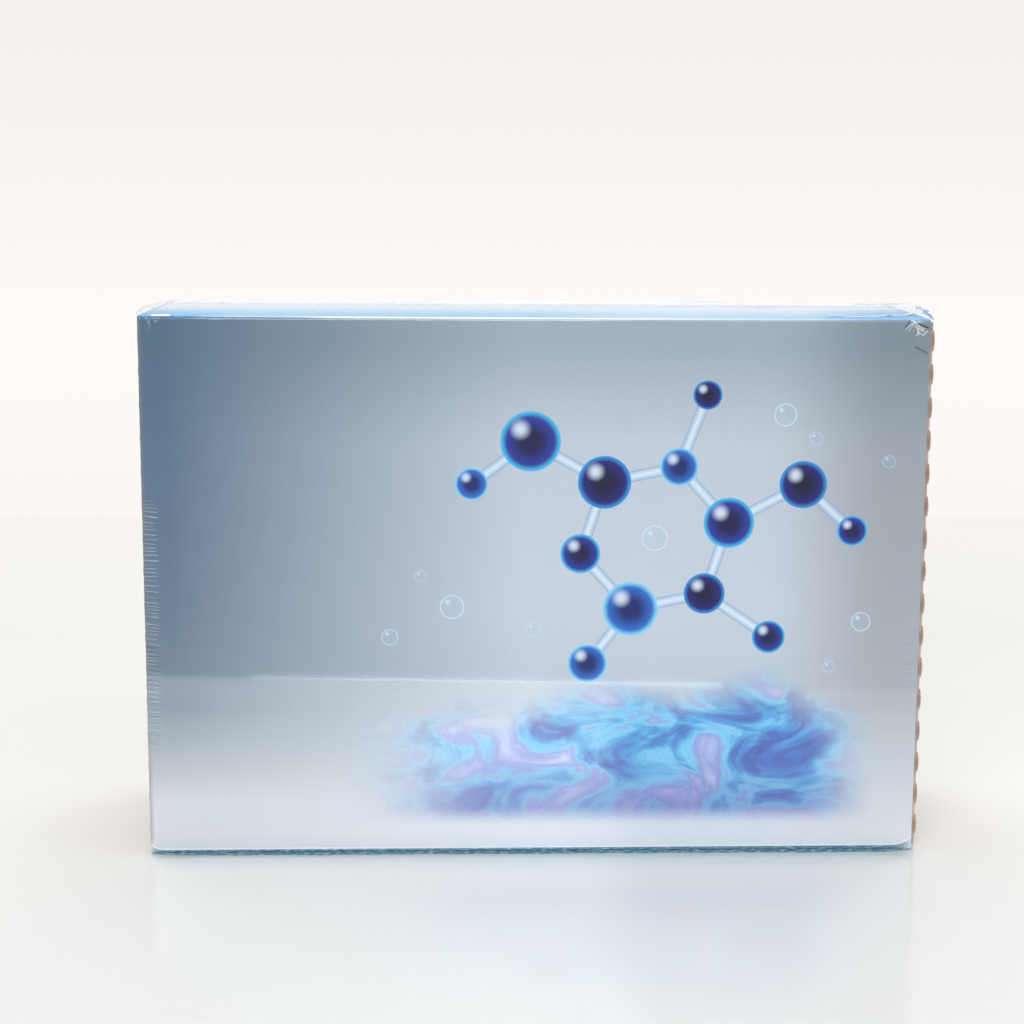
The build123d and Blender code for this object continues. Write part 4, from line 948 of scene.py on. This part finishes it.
cap_inks = {1: "blue", 2: "red", 3: "yellow", 4: "yellow", 5: "blue", 6: "red"}
label_middle, label_half, stripe_middle, stripe_half = 15.0, 10.0, 22.5, 2.4
ink_codes = {"blue": ("1F5FB4", "2A70C6"), "red": ("C5352E", "D2473C"), "yellow": ("E3AE1E", "EDBE3A")}
for ink, (code, other) in ink_codes.items():
    # Polypropylene, injection moulded: deep even colour with a satin gloss.
    cap = moulded("polypropylene_moulded_" + ink, code, other, 0.36, 0.5, IOR=1.49)[0]
    dress(cap, *(f"bottle_cap_{i}" for i in cap_inks if cap_inks[i] == ink))
    # Polyethylene, blow moulded: milky, waxy white, softer in gloss than the caps. Its printed label is a white
    # band with one stripe in the colour of the cap.
    bottle, t, shader, point, tone = moulded("polyethylene_blown_" + ink, "EFEFEA", "F5F5F1", 0.42, 0.6,
                                             IOR=1.51)
    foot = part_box("reagent_bottle_1")[1][1] / MM
    height = add(t, MATH, [foot, add(t, SPLIT, [point]).outputs[1]], operation="SUBTRACT")
    label = add(t, MATH, [height, label_middle, label_half], operation="COMPARE")
    stripe = add(t, MATH, [height, stripe_middle, stripe_half], operation="COMPARE")
    tone = add(t, MIX, {"Factor": label, "A": tone.outputs[2], "B": linear("FAFAFA")}, data_type="RGBA")
    tone = add(t, MIX, {"Factor": stripe, "A": tone.outputs[2], "B": linear(code)}, data_type="RGBA")
    t.links.new(tone.outputs[2], shader.inputs["Base Color"])
    dress(bottle, *(f"reagent_bottle_{i}" for i in cap_inks if cap_inks[i] == ink))
# Polyethylene foam, sliced: chalky white and quite dull.
foam = moulded("polyethylene_foam_sliced", "EDEDE8", "F7F7F3", 0.8, 0.35)[0]
dress(foam, *(f"cap_liner_{i}" for i in cap_inks))
# Polypropylene without pigment, moulded: cloudy, so that light comes through and shapes don't.
natural = moulded("polypropylene_moulded_natural", "EEF1F2", "F6F8F8", 0.34, 0.7, IOR=1.49,
                  Transmission_weight=0.45)[0]
dress(natural, "funnel", "transfer_pipette")
# Polystyrene, injection moulded: clear and hard, with sharp highlights.
polystyrene = moulded("polystyrene_moulded_clear", "FBFDFE", "FEFFFF", 0.05, 1.2, IOR=1.59,
                      Transmission_weight=0.96)[0]
dress(polystyrene, "measuring_cup")
# Borosilicate glass, blown: colourless, with the smoothest gloss of all.
glass = moulded("borosilicate_glass_blown", "FBFEFD", "FEFFFF", 0.015, 3.0, IOR=1.473,
                Transmission_weight=1.0)[0]
glassware = "conical_flask", "test_tube_1", "test_tube_2", "stirring_rod"
dress(glass, *glassware)
# Light reaches what lies under the clear ware.
for name in ("measuring_cup", *glassware):
    nodes[name].visible_shadow = False
# Natural rubber, moulded: brick red and nearly without gloss.
rubber = moulded("natural_rubber_moulded", "8E3F33", "9B4A3C", 0.62, 0.4, IOR=1.52)[0]
dress(rubber, "flask_stopper", "tube_stopper_1", "tube_stopper_2")
# Enamel, printed and fired: opaque blue with a soft gloss.
enamel = moulded("enamel_printed_blue", "34507A", "3D5A86", 0.5, 0.5)[0]

# ---------------------------------------------------------------- graduations and screw threads
marks = bpy.data.node_groups.new("graduations", "GeometryNodeTree")
given, sink = sockets_of(marks, [
    ("Geometry", "g"), ("Count", "i"), ("First", "f"), ("Pitch", "f"), ("Radius", "f"), ("Taper", "f"),
    ("Middle", "f"), ("Sweep", "f"), ("Line", "f"), ("Place", "v"), ("Turn", "v"), ("Material", "m")],
    [("Geometry", "g")])
first, pitch = (add(marks, JOIN, {2: given[key]}) for key in ("First", "Pitch"))
ladder = add(marks, "GeometryNodeMeshLine", {"Count": given["Count"], "Start Location": first, "Offset": pitch})
begin = add(marks, MATH, [given["Sweep"], -0.5, given["Middle"]], operation="MULTIPLY_ADD")
arc = add(marks, "GeometryNodeCurveArc", {"Resolution": 16, "Radius": 1.0, "Start Angle": begin,
                                          "Sweep Angle": given["Sweep"]})
up = add(marks, SPLIT, [add(marks, "GeometryNodeInputPosition")]).outputs[2]
width = add(marks, MATH, [up, given["First"]], operation="SUBTRACT")
width = add(marks, MATH, [width, given["Taper"], given["Radius"]], operation="MULTIPLY_ADD")
width = add(marks, JOIN, [width, width, 1.0])
stack = add(marks, "GeometryNodeInstanceOnPoints", {"Points": ladder, "Instance": arc, "Scale": width})
stack = add(marks, "GeometryNodeRealizeInstances", {"Geometry": stack})
stroke = add(marks, "GeometryNodeCurvePrimitiveCircle", {"Resolution": 6, "Radius": given["Line"]})
body = add(marks, "GeometryNodeCurveToMesh", {"Curve": stack, "Profile Curve": stroke, "Fill Caps": True})
body = add(marks, "GeometryNodeTransform", {"Geometry": body, "Translation": given["Place"],
                                            "Rotation": given["Turn"]})
body = add(marks, "GeometryNodeSetMaterial", {"Geometry": body, "Material": given["Material"]})
marks.links.new(body.outputs[0], sink.inputs[0])

thread = bpy.data.node_groups.new("screw_thread", "GeometryNodeTree")
given, sink = sockets_of(thread, [
    ("Geometry", "g"), ("Turns", "f"), ("Radius", "f"), ("Rise", "f"), ("Ridge", "f"), ("Place", "v"),
    ("Turn", "v"), ("Material", "m")], [("Geometry", "g")])
helix = add(thread, "GeometryNodeCurveSpiral", {
    "Resolution": 36, "Rotations": given["Turns"], "Height": given["Rise"], "Start Radius": given["Radius"],
    "End Radius": given["Radius"]})
ridge = add(thread, "GeometryNodeCurvePrimitiveCircle", {"Resolution": 8, "Radius": given["Ridge"]})
body = add(thread, "GeometryNodeCurveToMesh", {"Curve": helix, "Profile Curve": ridge, "Fill Caps": True})
body = add(thread, "GeometryNodeTransform", {"Geometry": body, "Translation": given["Place"],
                                             "Rotation": given["Turn"]})
body = add(thread, "GeometryNodeRealizeInstances", {"Geometry": body})
body = add(thread, "GeometryNodeSetMaterial", {"Geometry": body, "Material": given["Material"]})
thread.links.new(body.outputs[0], sink.inputs[0])


def grow(name, tree, body, material, slot, **values):
    """Run a Geometry Nodes tree with these inputs and keep its result as a plain mesh on a body."""
    holder = bpy.data.objects.new(name + "_source", bpy.data.meshes.new(name))
    bpy.context.scene.collection.objects.link(holder)
    modifier = holder.modifiers.new("grow", "NODES")
    modifier.node_group = tree
    names = {item.name: item.identifier for item in tree.interface.items_tree if item.in_out == "INPUT"}
    for key, value in {**values, "Material": material}.items():
        modifier[names[key]] = value
    mesh = bpy.data.meshes.new_from_object(holder.evaluated_get(bpy.context.evaluated_depsgraph_get()))
    bpy.data.objects.remove(holder)
    mesh.shade_smooth()
    return piece(name, mesh, body, material)


outward, rightward, upward = (math.pi / 2, 0.0, 0.0), (0.0, math.pi / 2, 0.0), (0.0, 0.0, 0.0)
to_front = -math.pi / 2
LOW, HIGH = 0, 1


def box_end(name, axis, side, below=0.0):
    """Middle of one end of a node's box at rest, or so many metres below it along the axis."""
    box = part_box(name)
    place = list((box[LOW] + box[HIGH]) / 2)
    place[axis] = box[side][axis] - below
    return tuple(place)


def graduate(name, slot, place, turn, count, first, pitch, radius, degrees, taper=0.0, line=0.16):
    """Printed lines round the front of a piece of ware, spaced along it from a place. In millimetres."""
    grow(name, marks, "drawer", enamel, slot, Count=count, First=first * MM, Pitch=pitch * MM,
         Radius=radius * MM, Taper=taper, Middle=to_front, Sweep=math.radians(degrees), Line=line * MM,
         Place=place, Turn=turn)


cup_taper, flask_taper = 0.026, -math.tan(math.radians(15))
graduate("cup_graduations", "clear_plastic", box_end("measuring_cup", Y_AXIS, HIGH), outward,
         count=6, first=8, pitch=4.5, radius=10.25, degrees=70, taper=cup_taper)
for i in (1, 2):
    graduate(f"tube_graduations_{i}", "lab_glass", box_end(f"test_tube_{i}", X_AXIS, LOW), rightward,
             count=9, first=16, pitch=7, radius=8.0, degrees=44)
graduate("flask_graduations", "lab_glass", box_end("conical_flask", Z_AXIS, LOW), upward,
         count=5, first=15, pitch=6.5, radius=19.72, degrees=34, taper=flask_taper)
graduate("pipette_graduations", "natural_plastic", box_end("transfer_pipette", X_AXIS, LOW), rightward,
         count=5, first=46, pitch=8, radius=2.4, degrees=120, line=0.12)
thread_begins = 37.2 * MM
for i in cap_inks:
    bottle = f"reagent_bottle_{i}"
    grow(f"bottle_thread_{i}", thread, "drawer", nodes[bottle].data.materials[0], "bottle_plastic", Turns=1.6,
         Radius=7.35 * MM, Rise=4.8 * MM, Ridge=0.42 * MM, Place=box_end(bottle, Y_AXIS, HIGH, thread_begins),
         Turn=outward)
